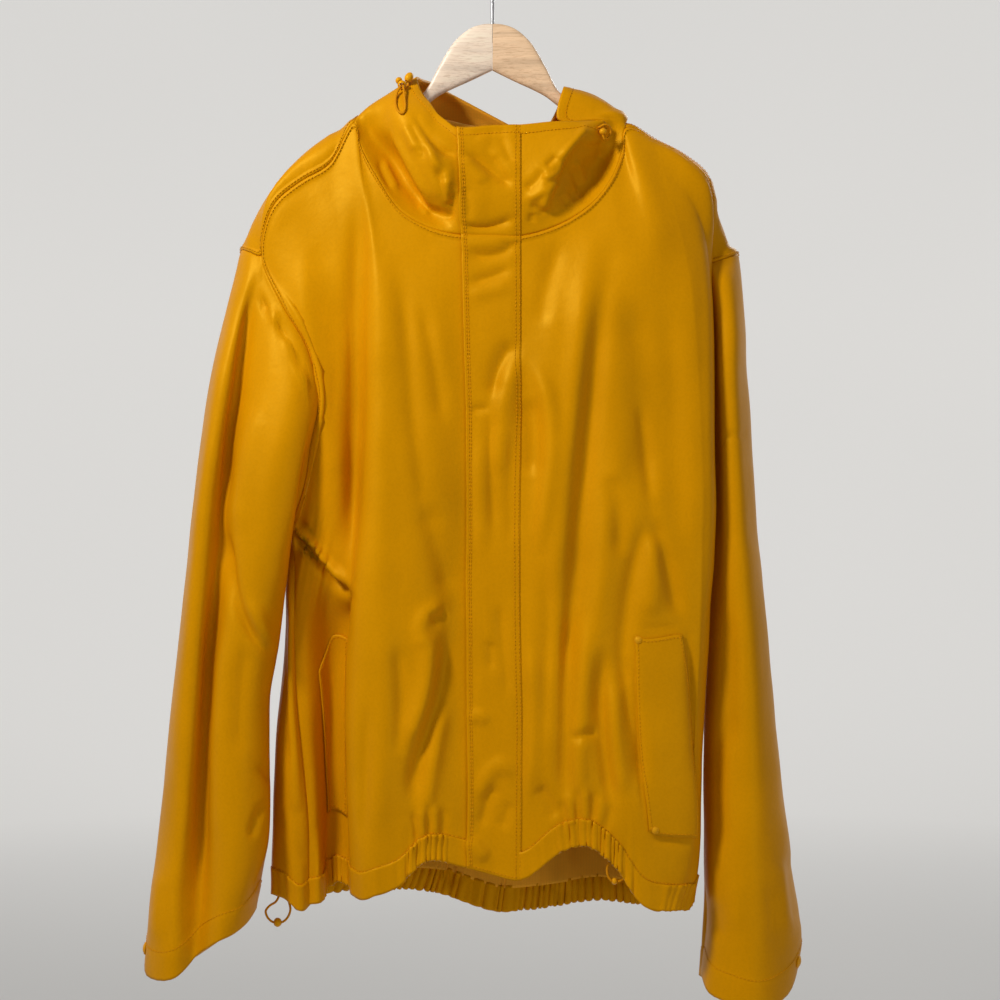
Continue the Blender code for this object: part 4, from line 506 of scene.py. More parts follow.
# Creases by group: width across half a fold, height (less than 0 is a trough), line of places (x, z)
# in the front view's plane
CREASES = {
    "front_right": [
        (10.3, -5.1, [(-124, -227), (-125, -271), (-126, -332), (-127, -426), (-129, -534),
            (-131, -614)]),
        (15, 3.7, [(-106, -304), (-107, -426), (-109, -539), (-113, -652), (-119, -783)]),
        (18.8, -3.7, [(-170, -262), (-160, -309), (-148, -370), (-142, -445), (-140, -511)]),
        (11.3, 3.2, [(-181, -304), (-177, -360), (-164, -426), (-153, -492), (-145, -558)]),
        (8.5, -2.8, [(-88, -323), (-81, -379), (-76, -445), (-68, -511), (-62, -558)]),
        (11.3, -3.7, [(-63, -539), (-51, -584), (-40, -633)]),
        (7.5, 3.4, [(-65, -682), (-67, -656), (-58, -643), (-43, -641)]),
        (5.6, -3, [(-59, -655), (-51, -649), (-40, -647)]),
        (9.4, 6, [(-60, -657), (-59, -689), (-64, -727), (-76, -760), (-83, -776)]),
        (9.4, -6.9, [(-43, -661), (-44, -691), (-51, -727), (-61, -760), (-71, -793), (-76, -832)]),
        (6.6, 3.2, [(-42, -727), (-53, -769), (-60, -812), (-64, -849)]),
        (15, -3.7, [(-38, -558), (-35, -633), (-35, -727), (-38, -812)]),
        (11.3, 2.8, [(-98, -633), (-100, -727), (-106, -821), (-110, -868)]),
        (7.5, -2.8, [(-91, -670), (-85, -727), (-87, -783)]),
        (6.6, -2.3, [(-118, -727), (-119, -802), (-123, -868)]),
        (7.5, -2.8, [(-68, -351), (-55, -407), (-45, -473)]),
        (4.2, 7.8, [(-192, -558), (-175, -574), (-152, -601), (-132, -621)]),
        (4.2, -7.8, [(-188, -572), (-171, -587), (-149, -614), (-132, -631)]),
        (3.8, -2.1, [(-70, -860), (-74, -832)]),
        (3.8, 2.1, [(-65, -858), (-68, -828)]),
        (3.8, -2.1, [(-60, -857), (-61, -821)]),
        (3.8, 2.1, [(-54, -856), (-54, -825)]),
        (3.8, -1.8, [(-47, -856), (-45, -827)]),
    ],
    "front_left": [
        (3.8, -3.7, [(206, -290), (209, -351), (210, -464), (211, -595), (206, -670)]),
        (3.8, -2.5, [(183, -665), (190, -760), (198, -857)]),
        (2.8, -1.4, [(132, -670), (137, -760), (143, -849)]),
        (2.8, -1.8, [(146, -857), (167, -859), (188, -862)]),
        (2.8, -1.4, [(139, -660), (158, -659), (176, -659)]),
        (5.6, 2.8, [(199, -285), (202, -370), (202, -482), (203, -595), (197, -670)]),
        (3.8, -2.1, [(69, -847), (64, -821)]),
        (3.8, 2.1, [(75, -844), (71, -813)]),
        (3.8, -2.1, [(81, -843), (80, -808)]),
        (3.8, 2.1, [(88, -842), (88, -810)]),
        (3.8, -2.1, [(95, -843), (96, -812)]),
        (3.8, 1.8, [(100, -845), (104, -817)]),
        (3.8, -1.8, [(107, -851), (112, -825)]),
        (10.3, -6.4, [(110, -315), (101, -368), (95, -424), (89, -482), (83, -544), (78, -614),
            (71, -685), (66, -746)]),
        (12.2, 5.1, [(92, -304), (85, -370), (78, -436), (71, -501), (64, -576), (56, -652)]),
        (18.8, -6, [(129, -342), (139, -398), (144, -464), (148, -539)]),
        (6.6, -2.8, [(139, -445), (145, -492), (150, -549)]),
        (9.4, -5.1, [(149, -550), (140, -576), (130, -619), (122, -680), (118, -727)]),
        (7.5, -4.6, [(150, -550), (159, -581), (168, -616), (177, -652)]),
        (10.3, 3.7, [(153, -567), (152, -605), (148, -652)]),
        (11.3, 4.1, [(115, -482), (112, -539), (105, -595), (99, -652), (97, -718)]),
        (9.4, -4.6, [(111, -511), (118, -558), (120, -595)]),
        (8.5, 5.1, [(29, -409), (43, -420), (53, -450), (55, -492), (50, -544), (43, -595)]),
        (9.4, -4.1, [(33, -440), (38, -473), (36, -520)]),
        (8.5, -4.1, [(50, -595), (52, -652), (48, -718), (45, -774)]),
        (8.5, -5.5, [(75, -633), (70, -718), (68, -788), (68, -832)]),
        (8.5, 4.6, [(87, -642), (85, -727), (82, -793), (87, -840)]),
        (7.5, -5.5, [(105, -670), (102, -732), (107, -788), (113, -835)]),
        (7.5, 4.1, [(114, -708), (116, -764), (124, -821)]),
        (7.5, -5.1, [(124, -680), (129, -732), (136, -774), (139, -812)]),
        (4.7, -3.7, [(74, -765), (85, -760), (99, -756)]),
        (7.5, 3.7, [(35, -670), (41, -727), (38, -783), (35, -830)]),
        (6.6, -3.7, [(41, -807), (52, -821), (60, -840)]),
        (6.6, -3.2, [(186, -670), (190, -727), (193, -802)]),
        (16.9, 3.7, [(186, -285), (190, -379), (192, -482), (195, -595)]),
        (13.2, -2.8, [(165, -351), (170, -426), (173, -511), (175, -595)]),
        (8.5, -2.3, [(64, -294), (50, -342), (45, -379)]),
    ],
    "flap": [
        (4.7, -3.4, [(-29, -279), (-12, -284), (9, -279), (22, -272)]),
        (5.6, 3, [(-27, -293), (-8, -297), (15, -293)]),
        (4.7, -3, [(-25, -306), (-8, -310), (11, -306), (23, -294)]),
        (4.7, -2.7, [(-21, -335), (0, -329), (18, -321)]),
        (5.6, 1.9, [(-23, -347), (-2, -343), (18, -338)]),
        (3.8, -2.3, [(-21, -453), (-12, -454), (-2, -451)]),
        (7.5, -4.6, [(23, -390), (13, -400), (5, -419), (1, -445)]),
        (8.5, 4.9, [(27, -409), (18, -421), (11, -445), (8, -482), (7, -520)]),
        (6.6, -3.4, [(3, -445), (0, -482), (0, -530), (3, -576)]),
        (5.6, 2.3, [(-9, -473), (-11, -530), (-9, -595)]),
        (6.6, -3, [(17, -473), (16, -530), (18, -586)]),
        (5.6, -3, [(7, -633), (10, -680), (14, -718), (12, -727)]),
        (4.7, -2.7, [(-2, -670), (-1, -699)]),
        (6.6, 3.4, [(-12, -821), (-2, -795), (10, -788), (17, -802)]),
        (5.6, -3.4, [(5, -821), (-2, -812), (-8, -835), (-13, -849)]),
        (6.6, 3.8, [(-21, -857), (-13, -868), (-5, -875)]),
        (5.6, -2.7, [(7, -849), (13, -835), (18, -821)]),
        (4.7, 2.7, [(-21, -746), (-12, -741), (-5, -748)]),
        (4.2, -3.8, [(-25, -210), (-12, -221), (3, -234), (19, -248)]),
        (4.2, 3, [(-27, -217), (-17, -231), (-6, -242)]),
        (3.8, -3, [(-9, -200), (0, -217), (10, -232), (22, -244)]),
        (3.8, 2.7, [(-13, -195), (-6, -206), (5, -219)]),
        (3.3, -2.3, [(7, -196), (13, -210), (19, -224)]),
        (2.8, -2.3, [(-13, -192), (-11, -199)]),
        (2.8, -2.1, [(-2, -190), (0, -198)]),
        (2.8, -2.1, [(7, -190), (10, -197)]),
        (3.3, -2.3, [(-28, -243), (-23, -257), (-23, -278)]),
    ],
    "body_side": [
        (5.6, -3.9, [(-197, -619), (-196, -670), (-195, -727), (-192, -802)]),
        (6.6, 3.4, [(-188, -633), (-186, -699), (-184, -764), (-178, -821)]),
        (5.6, -4.4, [(-181, -609), (-180, -670), (-175, -727), (-168, -793), (-164, -821)]),
        (6.6, 3.4, [(-171, -600), (-170, -670), (-164, -736), (-159, -812)]),
        (5.6, -2.3, [(-156, -633), (-157, -689), (-153, -746)]),
        (5.6, -2.1, [(-185, -821), (-181, -858), (-178, -887)]),
        (5.6, 1.8, [(-173, -830), (-172, -868)]),
    ],
    "sleeve_right": [
        (5.6, -7, [(-219, -332), (-227, -351), (-234, -393), (-241, -440), (-247, -482), (-251, -530),
            (-254, -548)]),
        (11.3, 4.9, [(-237, -315), (-248, -398), (-262, -501), (-275, -614), (-288, -727), (-301, -858)]),
        (5.6, -6.5, [(-253, -558), (-248, -595), (-240, -636), (-228, -661), (-216, -675), (-205, -686)]),
        (6.6, -5.9, [(-256, -591), (-263, -652), (-268, -727), (-272, -802), (-274, -868), (-275, -920)]),
        (9.4, 4.3, [(-220, -445), (-230, -492), (-237, -539), (-237, -576)]),
        (7.5, 4.3, [(-226, -633), (-217, -661), (-209, -680)]),
        (9.4, 3.8, [(-250, -652), (-254, -727), (-256, -802), (-254, -877)]),
        (3.8, -3.2, [(-211, -821), (-220, -835), (-228, -858)]),
        (4.7, -3.2, [(-217, -788), (-209, -800), (-205, -804)]),
        (7.5, -3.8, [(-232, -670), (-237, -727), (-239, -783)]),
        (4.7, 2.7, [(-312, -887), (-314, -924), (-316, -957)]),
        (4.7, -2.7, [(-303, -896), (-305, -934), (-303, -962)]),
        (3.8, -4.3, [(-217, -351), (-213, -362)]),
        (3.8, 3.2, [(-207, -362), (-202, -374)]),
        (3.8, -3.8, [(-201, -372), (-195, -387)]),
        (3.8, 3.2, [(-192, -393), (-187, -405)]),
        (3.8, -3.8, [(-187, -398), (-180, -413)]),
        (3.8, 2.7, [(-181, -419), (-175, -432)]),
    ],
    "sleeve_left": [
        (11.3, 3.8, [(218, -332), (225, -464), (235, -595), (244, -727), (252, -840)]),
        (13.2, -3.2, [(235, -370), (240, -492), (249, -614)]),
        (8.5, -4.3, [(211, -746), (210, -812), (212, -877)]),
        (5.6, -3.2, [(277, -868), (283, -915), (286, -943)]),
        (5.6, 3.2, [(270, -877), (274, -920), (279, -952)]),
        (4.7, -2.7, [(263, -896), (267, -943), (269, -971)]),
        (5.6, -3.2, [(209, -915), (212, -952)]),
        (5.6, 2.7, [(228, -896), (230, -943)]),
        (2.8, -2.2, [(216, -476), (230, -478), (242, -476)]),
        (9.4, -3.8, [(222, -633), (221, -708), (223, -783)]),
    ],
    "hood_right": [
        (6.6, -4.9, [(-107, -183), (-98, -200), (-90, -217), (-79, -238), (-67, -257), (-57, -268)]),
        (4.2, 4.1, [(-98, -190), (-85, -212), (-75, -231), (-63, -252), (-52, -270)]),
        (3.8, -3.2, [(-79, -182), (-72, -196), (-65, -207), (-64, -214), (-68, -216)]),
        (4.7, 3.5, [(-84, -184), (-76, -199), (-71, -212)]),
        (4.2, -4.3, [(-76, -173), (-68, -185), (-59, -198), (-46, -210), (-32, -217)]),
        (4.7, 3.5, [(-71, -199), (-59, -212), (-53, -223), (-47, -234)]),
        (4.7, -3.5, [(-52, -221), (-49, -236), (-44, -252), (-39, -270)]),
        (3.8, 3, [(-45, -236), (-43, -252), (-41, -263)]),
        (3.8, -2.4, [(-38, -248), (-37, -262), (-41, -278)]),
        (3.3, 1.9, [(-103, -219), (-96, -234), (-89, -249)]),
        (3.3, -1.6, [(-107, -219), (-101, -236), (-94, -248)]),
        (2.8, 1.6, [(-68, -262), (-60, -271)]),
    ],
    "hood_left": [
        (5.6, -3.4, [(98, -191), (87, -205), (76, -219), (67, -232), (62, -246), (53, -264)]),
        (3.3, 2.8, [(92, -185), (80, -199), (69, -212), (63, -219)]),
        (3.3, 2.8, [(65, -219), (62, -231), (53, -235), (48, -230)]),
        (3.3, -2.2, [(61, -215), (54, -222), (50, -225)]),
        (3.8, 3, [(64, -236), (57, -246), (51, -257), (48, -269)]),
        (4.7, -2.6, [(49, -227), (42, -238), (30, -248)]),
        (3.8, 2, [(54, -244), (45, -251), (32, -257)]),
        (3.8, 2, [(80, -219), (82, -231), (87, -242)]),
        (2.8, -1.8, [(75, -227), (79, -240), (83, -248)]),
        (3.8, -2, [(101, -200), (101, -212), (98, -221)]),
        (2.6, -1.4, [(65, -253), (71, -263)]),
        (2.6, -1.4, [(72, -248), (78, -259)]),
        (2.6, -1.4, [(80, -246), (85, -255)]),
        (3.8, -1.8, [(34, -263), (43, -265), (50, -272)]),
        (3.3, -1.6, [(38, -269), (36, -279)]),
        (4.7, -1.8, [(92, -172), (103, -174), (115, -182)]),
    ],
    "back": [
        (15, -7.8, [(-59, -351), (-62, -464), (-57, -595), (-51, -727)]),
        (16.9, 6.8, [(-21, -379), (-17, -520), (-13, -670), (-21, -821)]),
        (13.2, -6.8, [(26, -360), (22, -473), (15, -595), (18, -727), (26, -840)]),
        (14.1, 6.2, [(64, -351), (69, -482), (75, -624), (69, -764)]),
        (11.3, -7.3, [(111, -342), (105, -464), (97, -595), (101, -727), (107, -821)]),
        (15, 5.7, [(148, -379), (154, -511), (148, -652), (143, -783)]),
        (10.3, -5.7, [(-106, -388), (-111, -511), (-104, -642), (-98, -783)]),
        (13.2, 5.2, [(-138, -445), (-143, -558), (-138, -689)]),
        (8.5, -5.2, [(-153, -595), (-160, -689), (-156, -802)]),
        (7.5, -5.2, [(186, -464), (180, -576), (184, -689)]),
        (7.5, -6.2, [(-91, -821), (-85, -858), (-89, -896)]),
        (7.5, 5.2, [(-35, -840), (-40, -877), (-35, -906)]),
        (7.5, -5.7, [(64, -849), (69, -879), (64, -908)]),
        (6.6, 5.2, [(129, -830), (135, -868), (129, -896)]),
        (9.4, -4.2, [(-181, -351), (-153, -379), (-113, -398)]),
        (9.4, -4.2, [(186, -351), (161, -379), (129, -393)]),
    ],
    "sleeve_right_back": [
        (9.4, -5.8, [(-241, -379), (-250, -473), (-260, -576), (-269, -670)]),
        (10.3, 5.3, [(-217, -426), (-228, -539), (-241, -652), (-250, -764)]),
        (7.5, -5.3, [(-200, -492), (-217, -558), (-237, -605)]),
        (7.5, -4.8, [(-262, -727), (-269, -821), (-275, -896)]),
        (8.5, 4.3, [(-294, -746), (-297, -840), (-301, -915)]),
        (5.6, -3.8, [(-284, -877), (-279, -915), (-269, -943)]),
    ],
    "sleeve_left_back": [
        (9.4, -5.3, [(237, -379), (242, -482), (244, -595), (252, -689)]),
        (10.3, 4.8, [(216, -426), (222, -539), (229, -652), (233, -764)]),
        (7.5, -4.8, [(210, -520), (220, -576), (237, -614)]),
        (7.5, -4.3, [(261, -727), (267, -821), (270, -896)]),
        (8.5, 3.8, [(235, -783), (240, -877), (244, -943)]),
        (5.6, -3.4, [(216, -877), (222, -915), (233, -948)]),
    ],
    "hood_bag": [
        (9.4, -4.8, [(-49, -210), (-40, -276), (-21, -332), (0, -379)]),
        (9.4, 4.8, [(-21, -210), (-13, -276), (-4, -342)]),
        (8.5, -4.4, [(64, -210), (52, -276), (34, -332), (15, -379)]),
        (8.5, 4, [(35, -219), (30, -285), (20, -351)]),
        (7.5, -4, [(-68, -238), (-49, -304), (-21, -360)]),
        (7.5, -3.6, [(87, -229), (69, -304), (41, -360)]),
    ],
}
# Creases that each piece takes, and the side of the coat that they are on: 1 front, -1 back
GROUPS = {
    "front_right": [("front_right", 1), ("flap", 1)],
    "front_left": [("front_left", 1), ("flap", 1)],
    "back": [("back", -1), ("body_side", 1)],
    "sleeve_right": [("sleeve_right", 1), ("sleeve_right_back", -1)],
    "sleeve_left": [("sleeve_left", 1), ("sleeve_left_back", -1)],
    "hood_right": [("hood_right", 1), ("flap", 1), ("hood_bag", -1)],
    "hood_left": [("hood_left", 1), ("flap", 1), ("hood_bag", -1)],
}


# ---- smooth curves and lofted cloth -------------------------------------------------------------

def through(points, stations, closed=False):
    """Points of a smooth centripetal curve through rows of points.

    A station counts the rows: 2.5 is halfway from row 2 to row 3.
    """
    points = np.asarray(points, float)
    if closed:
        ring = np.vstack([points[-1], points, points[0], points[1]])
    else:
        ring = np.vstack([2 * points[0] - points[1], points, 2 * points[-1] - points[-2]])
    stations = np.asarray(stations, float)
    last = len(ring) - 4
    row = np.clip(np.floor(stations).astype(int), 0, last)
    part = (stations - row)[:, None]
    before, start, end, after = (ring[row + k] for k in range(4))
    gap_in, gap, gap_out = (
        np.sqrt(np.linalg.norm(b - a, axis=1) + 1e-9)[:, None]
        for a, b in ((before, start), (start, end), (end, after)))
    leave = gap * ((start - before) / gap_in - (end - before) / (gap_in + gap)) + (end - start)
    arrive = (end - start) + gap * ((after - end) / gap_out - (after - start) / (gap + gap_out))
    square, cube = part ** 2, part ** 3
    return ((2 * cube - 3 * square + 1) * start + (cube - 2 * square + part) * leave
            + (3 * square - 2 * cube) * end + (cube - square) * arrive)


def down_rib(points, shares, band, band_shares):
    """Points down one rib: at shares of the length above its turned edge, then across that edge band."""
    fine = np.linspace(0, len(points) - 1, 24 * (len(points) - 1) + 1)
    line = through(points, fine)
    length = np.concatenate([[0], np.cumsum(np.linalg.norm(np.diff(line, axis=0), axis=1))])
    body = length[-1] - band
    wanted = np.concatenate([np.asarray(shares) * body, body + band * np.asarray(band_shares)])
    return through(points, np.interp(wanted, length, fine))


def rib_stations(counts, closed):
    """Stations of the columns, from the number of columns between each rib and the next."""
    used = counts if closed else counts[:-1]
    steps = [i + k / count for i, count in enumerate(used) for k in range(count)]
    return np.array(steps if closed else steps + [len(counts) - 1.0])


def back_ribs():
    """Ribs of the back: the shaped tops from the table, then levels spread across the back."""
    ribs = []
    for name, count, share, top in BACK:
        if share is None:
            ribs.append((name, count, top))
            continue
        points = list(top)
        for height, right, left, middle_depth, edge_depth in BACK_LEVELS:
            if height > top[-1][2] - 30:
                continue
            bow = 1 - (2 * share - 1) ** 2
            points.append((right + (left - right) * share, edge_depth + (middle_depth - edge_depth) * bow,
                           height))
        tail = through(BACK_HEM, [share * (len(BACK_HEM) - 1)])[0]
        ribs.append((name, count, points + [tuple(tail)]))
    return ribs


def even_route(points, spacing):
    """Points at even spacing on the smooth curve through a route's own points."""
    fine = np.linspace(0, len(points) - 1, 40 * (len(points) - 1) + 1)
    line = through(points, fine)
    length = np.concatenate([[0], np.cumsum(np.linalg.norm(np.diff(line, axis=0), axis=1))])
    count = max(2, round(length[-1] / spacing))
    return through(points, np.interp(np.linspace(0, length[-1], count + 1), length, fine))


# ---- sheets: grids of points with their normals -------------------------------------------------

def spaced(length, step, near):
    """Shares of a length: close together near its start, then at even steps."""
    close = [d for d in near if d < length]
    count = max(1, round((length - close[-1]) / step))
    return np.array(close[:-1] + list(np.linspace(close[-1], length, count + 1))) / length


def unit(vectors):
    """Vectors brought to length 1."""
    return vectors / np.maximum(np.linalg.norm(vectors, axis=-1, keepdims=True), 1e-9)


class Sheet:
    """One piece of cloth as a grid of points, rows running down it from its top seam."""

    def __init__(self, grid, flipped=False, closed=False):
        self.grid, self.flipped, self.closed = grid, flipped, closed
        self.names, self.starts, self.body_rows = [], np.arange(grid.shape[1]), grid.shape[0]
        self.shares, self.finer = np.linspace(0, 1, grid.shape[0]), FINER

    @classmethod
    def lofted(cls, ribs, length, band, flipped=False, closed=False, gathers=(), step=ROW_STEP):
        """Sheet through ribs, with a turned edge band at its foot."""
        shares = spaced(length, step, NEAR_SEAM)
        band_shares = np.linspace(0, 1, max(4, round(band / BAND_STEP)) + 1)[1:]
        lines = np.array([down_rib(points, shares, band, band_shares) for _, _, points in ribs])
        counts = [count * FINER for _, count, _ in ribs]
        stations = rib_stations(counts, closed)
        grid = np.array([through(lines[:, j], stations, closed) for j in range(lines.shape[1])])
        sheet = cls(grid, flipped, closed)
        sheet.names = [name for name, _, _ in ribs]
        sheet.starts = np.cumsum([0] + counts)[:-1]
        sheet.shares, sheet.body_rows = shares, len(shares)
        sheet.gather(gathers, stations, band_shares)
        return sheet

    def column(self, name, past=0.0):
        """Grid column on the named rib, or past it by columns of the solid."""
        return self.starts[self.names.index(name)] + int(round(past * self.finer))

    def gather(self, gathers, stations, band_shares):
        """Waves in the turned edge band, fading out above it."""
        normals = self.normals()
        above = list(GATHER_REACH * np.linspace(0, 1, GATHER_ROWS + 2)[1:-1] ** 1.6)
        for name, waves, depth in gathers:
            rib = self.names.index(name)
            part = stations - rib
            inside = (part >= 0) & (part <= 1)
            ends = np.clip(np.minimum(part, 1 - part) * 2 * waves, 0, 1)
            wave = -np.cos(2 * np.pi * waves * part) * ends * inside * depth
            for j, share in enumerate(above + [GATHER_REACH + (1 - GATHER_REACH) * s for s in band_shares]):
                row = self.body_rows - len(above) + j
                self.grid[row] += (wave * share)[:, None] * normals[row]

    def even_out(self, first, last, rounds):
        """Even out ripples across the columns between two ribs, clear of the top seam and the hem."""
        span = slice(self.column(first) + 1, self.column(last))
        before, after = (slice(span.start + k, span.stop + k) for k in (-1, 1))
        weight = 0.5 * smooth((self.shares - 0.015) / 0.04) * smooth((1 - self.shares) / 0.12)
        rows = self.grid[:self.body_rows]
        for _ in range(rounds):
            mean = (rows[:, before] + rows[:, after]) / 2
            rows[:, span] += weight[:, None, None] * (mean - rows[:, span])

    def refined(self, normals, times):
        """This sheet with more columns, and its normals between the columns."""
        stations = np.linspace(0, self.grid.shape[1] - 1, (self.grid.shape[1] - 1) * times + 1)
        sheet = Sheet(np.array([through(row, stations) for row in self.grid]), self.flipped)
        sheet.names, sheet.starts, sheet.finer = self.names, self.starts * times, self.finer * times
        sheet.shares, sheet.body_rows = self.shares, self.body_rows
        column = np.minimum(stations.astype(int), self.grid.shape[1] - 2)
        part = (stations - column)[:, None]
        return sheet, unit((1 - part) * normals[:, column] + part * normals[:, column + 1])

    def snap_top(self, points, first=0, reach=4, rows=BODY_ROWS):
        """Bring the top row onto a seam shared with a neighbour, easing back over the rows below."""
        span = slice(first, first + len(points))
        shift = points - self.grid[0, span]
        weights = np.interp(self.shares, rows[:reach + 1], [(1 - j / reach) ** 2 for j in range(reach + 1)])
        for j, weight in enumerate(weights):
            if weight > 0:
                self.grid[j, span] += shift * weight

    def normals(self):
        """Unit normals out of the coat."""
        down = np.gradient(self.grid, axis=0)
        if self.closed:
            ring = np.concatenate([self.grid[:, -1:], self.grid, self.grid[:, :1]], axis=1)
            across = (ring[:, 2:] - ring[:, :-2]) / 2
        else:
            across = np.gradient(self.grid, axis=1)
        out = unit(np.cross(across, down))
        return -out if self.flipped else out

    def lengths(self, axis=0):
        """Distance along the grid from its first row, or its first column."""
        steps = np.linalg.norm(np.diff(self.grid, axis=axis), axis=2)
        pad = [(0, 0), (0, 0)]
        pad[axis] = (1, 0)
        return np.cumsum(np.pad(steps, pad), axis=axis)


def at(values, column, row):
    """Value of a grid between its columns and rows."""
    i, j = min(int(row), len(values) - 2), int(column) % values.shape[1]
    u, v, k = column - int(column), row - i, (j + 1) % values.shape[1]
    return ((1 - v) * ((1 - u) * values[i, j] + u * values[i, k])
            + v * ((1 - u) * values[i + 1, j] + u * values[i + 1, k]))


def share_normals(sheets):
    """Normals of all the sheets, the same where two of them meet along their borders."""
    normals = {name: sheet.normals() for name, sheet in sheets.items()}
    totals, places = {}, []
    for name, sheet in sheets.items():
        rows, columns = sheet.grid.shape[:2]
        border = {(0, j) for j in range(columns)}
        if not sheet.closed:
            border |= {(i, j) for i in range(rows) for j in (0, columns - 1)}
        for i, j in border:
            key = tuple(np.round(sheet.grid[i, j], 1))
            totals[key] = totals.get(key, 0) + normals[name][i, j]
            places.append((name, i, j, key))
    for name, i, j, key in places:
        normals[name][i, j] = totals[key] / max(np.linalg.norm(totals[key]), 1e-6)
    return normals


def cloth_sheets():
    """The seven large pieces, with their shared seams brought together."""
    front_right = Sheet.lofted(FRONT_RIGHT, 720, HEM_BAND, gathers=FRONT_RIGHT_GATHERS)
    front_left = Sheet.lofted(FRONT_LEFT, 720, HEM_BAND, flipped=True, gathers=FRONT_LEFT_GATHERS)
    back = Sheet.lofted(back_ribs(), 720, HEM_BAND, gathers=BACK_GATHERS)
    sleeve_right = Sheet.lofted(SLEEVE_RIGHT, 600, HEM_BAND, closed=True)
    sleeve_left = Sheet.lofted(SLEEVE_LEFT, 600, HEM_BAND, closed=True, flipped=True)
    hood_right = Sheet.lofted(HOOD_RIGHT, 200, FACE_BAND, flipped=True, step=HOOD_STEP)
    hood_left = Sheet.lofted(HOOD_LEFT, 200, FACE_BAND, step=HOOD_STEP)
    front_right.even_out("mid_r", "side_seam", EVEN_ROUNDS)
    front_left.even_out("mid_l", "side_seam", EVEN_ROUNDS // 2)
    back.even_out("arm_back_a", "mid_r", EVEN_ROUNDS // 2)
    back.even_out("mid_l", "arm_back_z", EVEN_ROUNDS // 2)

    # Shoulder seams: the back follows the fronts
    right_top, left_top = front_right.grid[0], front_left.grid[0]
    neck_right, tip_right = front_right.column("neck_r"), front_right.column("tip_r")
    neck_left, tip_left = front_left.column("neck_l"), front_left.column("tip_l")
    back.snap_top(right_top[neck_right:tip_right + 1][::-1], back.column("tip_r"), 2)
    back.snap_top(left_top[neck_left:tip_left + 1], back.column("neck_l"), 2)

    # Neckline: the hood follows the fronts and the back
    top, nape = back.grid[0], back.column("nape")
    hood_right.snap_top(np.vstack([right_top[:neck_right + 1], top[back.column("neck_r") + 1:nape + 1]]),
                        0, 2, HOOD_ROWS)
    hood_left.snap_top(np.vstack([left_top[:neck_left + 1], top[nape:back.column("neck_l")][::-1]]),
                       0, 2, HOOD_ROWS)

    # Armholes: the sleeves follow the fronts and the back
    sleeve_right.snap_top(np.vstack([right_top[tip_right:][::-1], top[1:back.column("tip_r")][::-1]]),
                          rows=SLEEVE_ROWS)
    sleeve_left.snap_top(np.vstack([left_top[tip_left:][::-1], top[back.column("tip_l") + 1:-1]]),
                         rows=SLEEVE_ROWS)
    return {"front_right": front_right, "front_left": front_left, "back": back,
            "sleeve_right": sleeve_right, "sleeve_left": sleeve_left,
            "hood_right": hood_right, "hood_left": hood_left}


def storm_flap(sheets, normals):
    """Grid of the flap over the front opening, laid on the hood and the fronts."""
    rows = []
    for half, right, left in (("hood", "hood_right", "hood_left"), ("front", "front_right", "front_left")):
        one, two = sheets[right], sheets[left]
        end_one, end_two = one.column(FLAP_FREE_EDGE), two.column(FLAP_SEAM)
        spans = ((one, right, slice(end_one, 0, -1)), (two, left, slice(0, end_two + 1)))
        count = end_one + end_two + 1
        lift = np.interp(range(count), (0, 3, count - 5, count - 1), FLAP_LIFT)[:, None]
        laid = [np.vstack([side.grid[j, span] for side, _, span in spans])
                + lift * np.vstack([normals[name][j, span] for _, name, span in spans])
                for j in range(len(one.grid))]
        rows += laid[:0:-1] if half == "hood" else laid
    grid = np.array(rows)
    for _ in range(4):
        grid[:, 1:-1] = (grid[:, :-2] + 2 * grid[:, 1:-1] + grid[:, 2:]) / 4
    return Sheet(grid, flipped=True)


def pocket_flap(sheet, normals, corners):
    """Grid of a flap laid on a front, between four corners given as (rib, row of the solid)."""
    stations = np.arange(len(sheet.names))
    rows = []
    for low in np.linspace(0, 1, FLAP_ROWS):
        row = []
        for across in np.linspace(0, 1, FLAP_COLUMNS):
            one = (1 - low) * np.array(corners[0]) + low * np.array(corners[2])
            two = (1 - low) * np.array(corners[1]) + low * np.array(corners[3])
            rib, level = (1 - across) * one + across * two
            column = np.interp(rib, stations, sheet.starts)
            share = np.interp(level, range(len(BODY_ROWS)), BODY_ROWS)
            place = np.interp(share, sheet.shares, range(sheet.body_rows))
            out = unit(at(normals, column, place))
            row.append(at(sheet.grid, column, place) + (SOLID_CLOTH + LAID_GAP) * out)
        rows.append(row)
    return Sheet(np.array(rows), flipped=sheet.flipped)


# ---- creases ------------------------------------------------------------------------------------

def front_view(points):
    """Places of points in the front view's plane."""
    scale = (points[..., 1] - EYE[1]) / (PLANE - EYE[1])
    return np.stack([EYE[axis] + (points[..., axis] - EYE[axis]) / scale for axis in (0, 2)], -1)


def smooth(x):
    """Step from 0 to 1 that is smooth at both ends."""
    x = np.clip(x, 0, 1)
    return x * x * (3 - 2 * x)


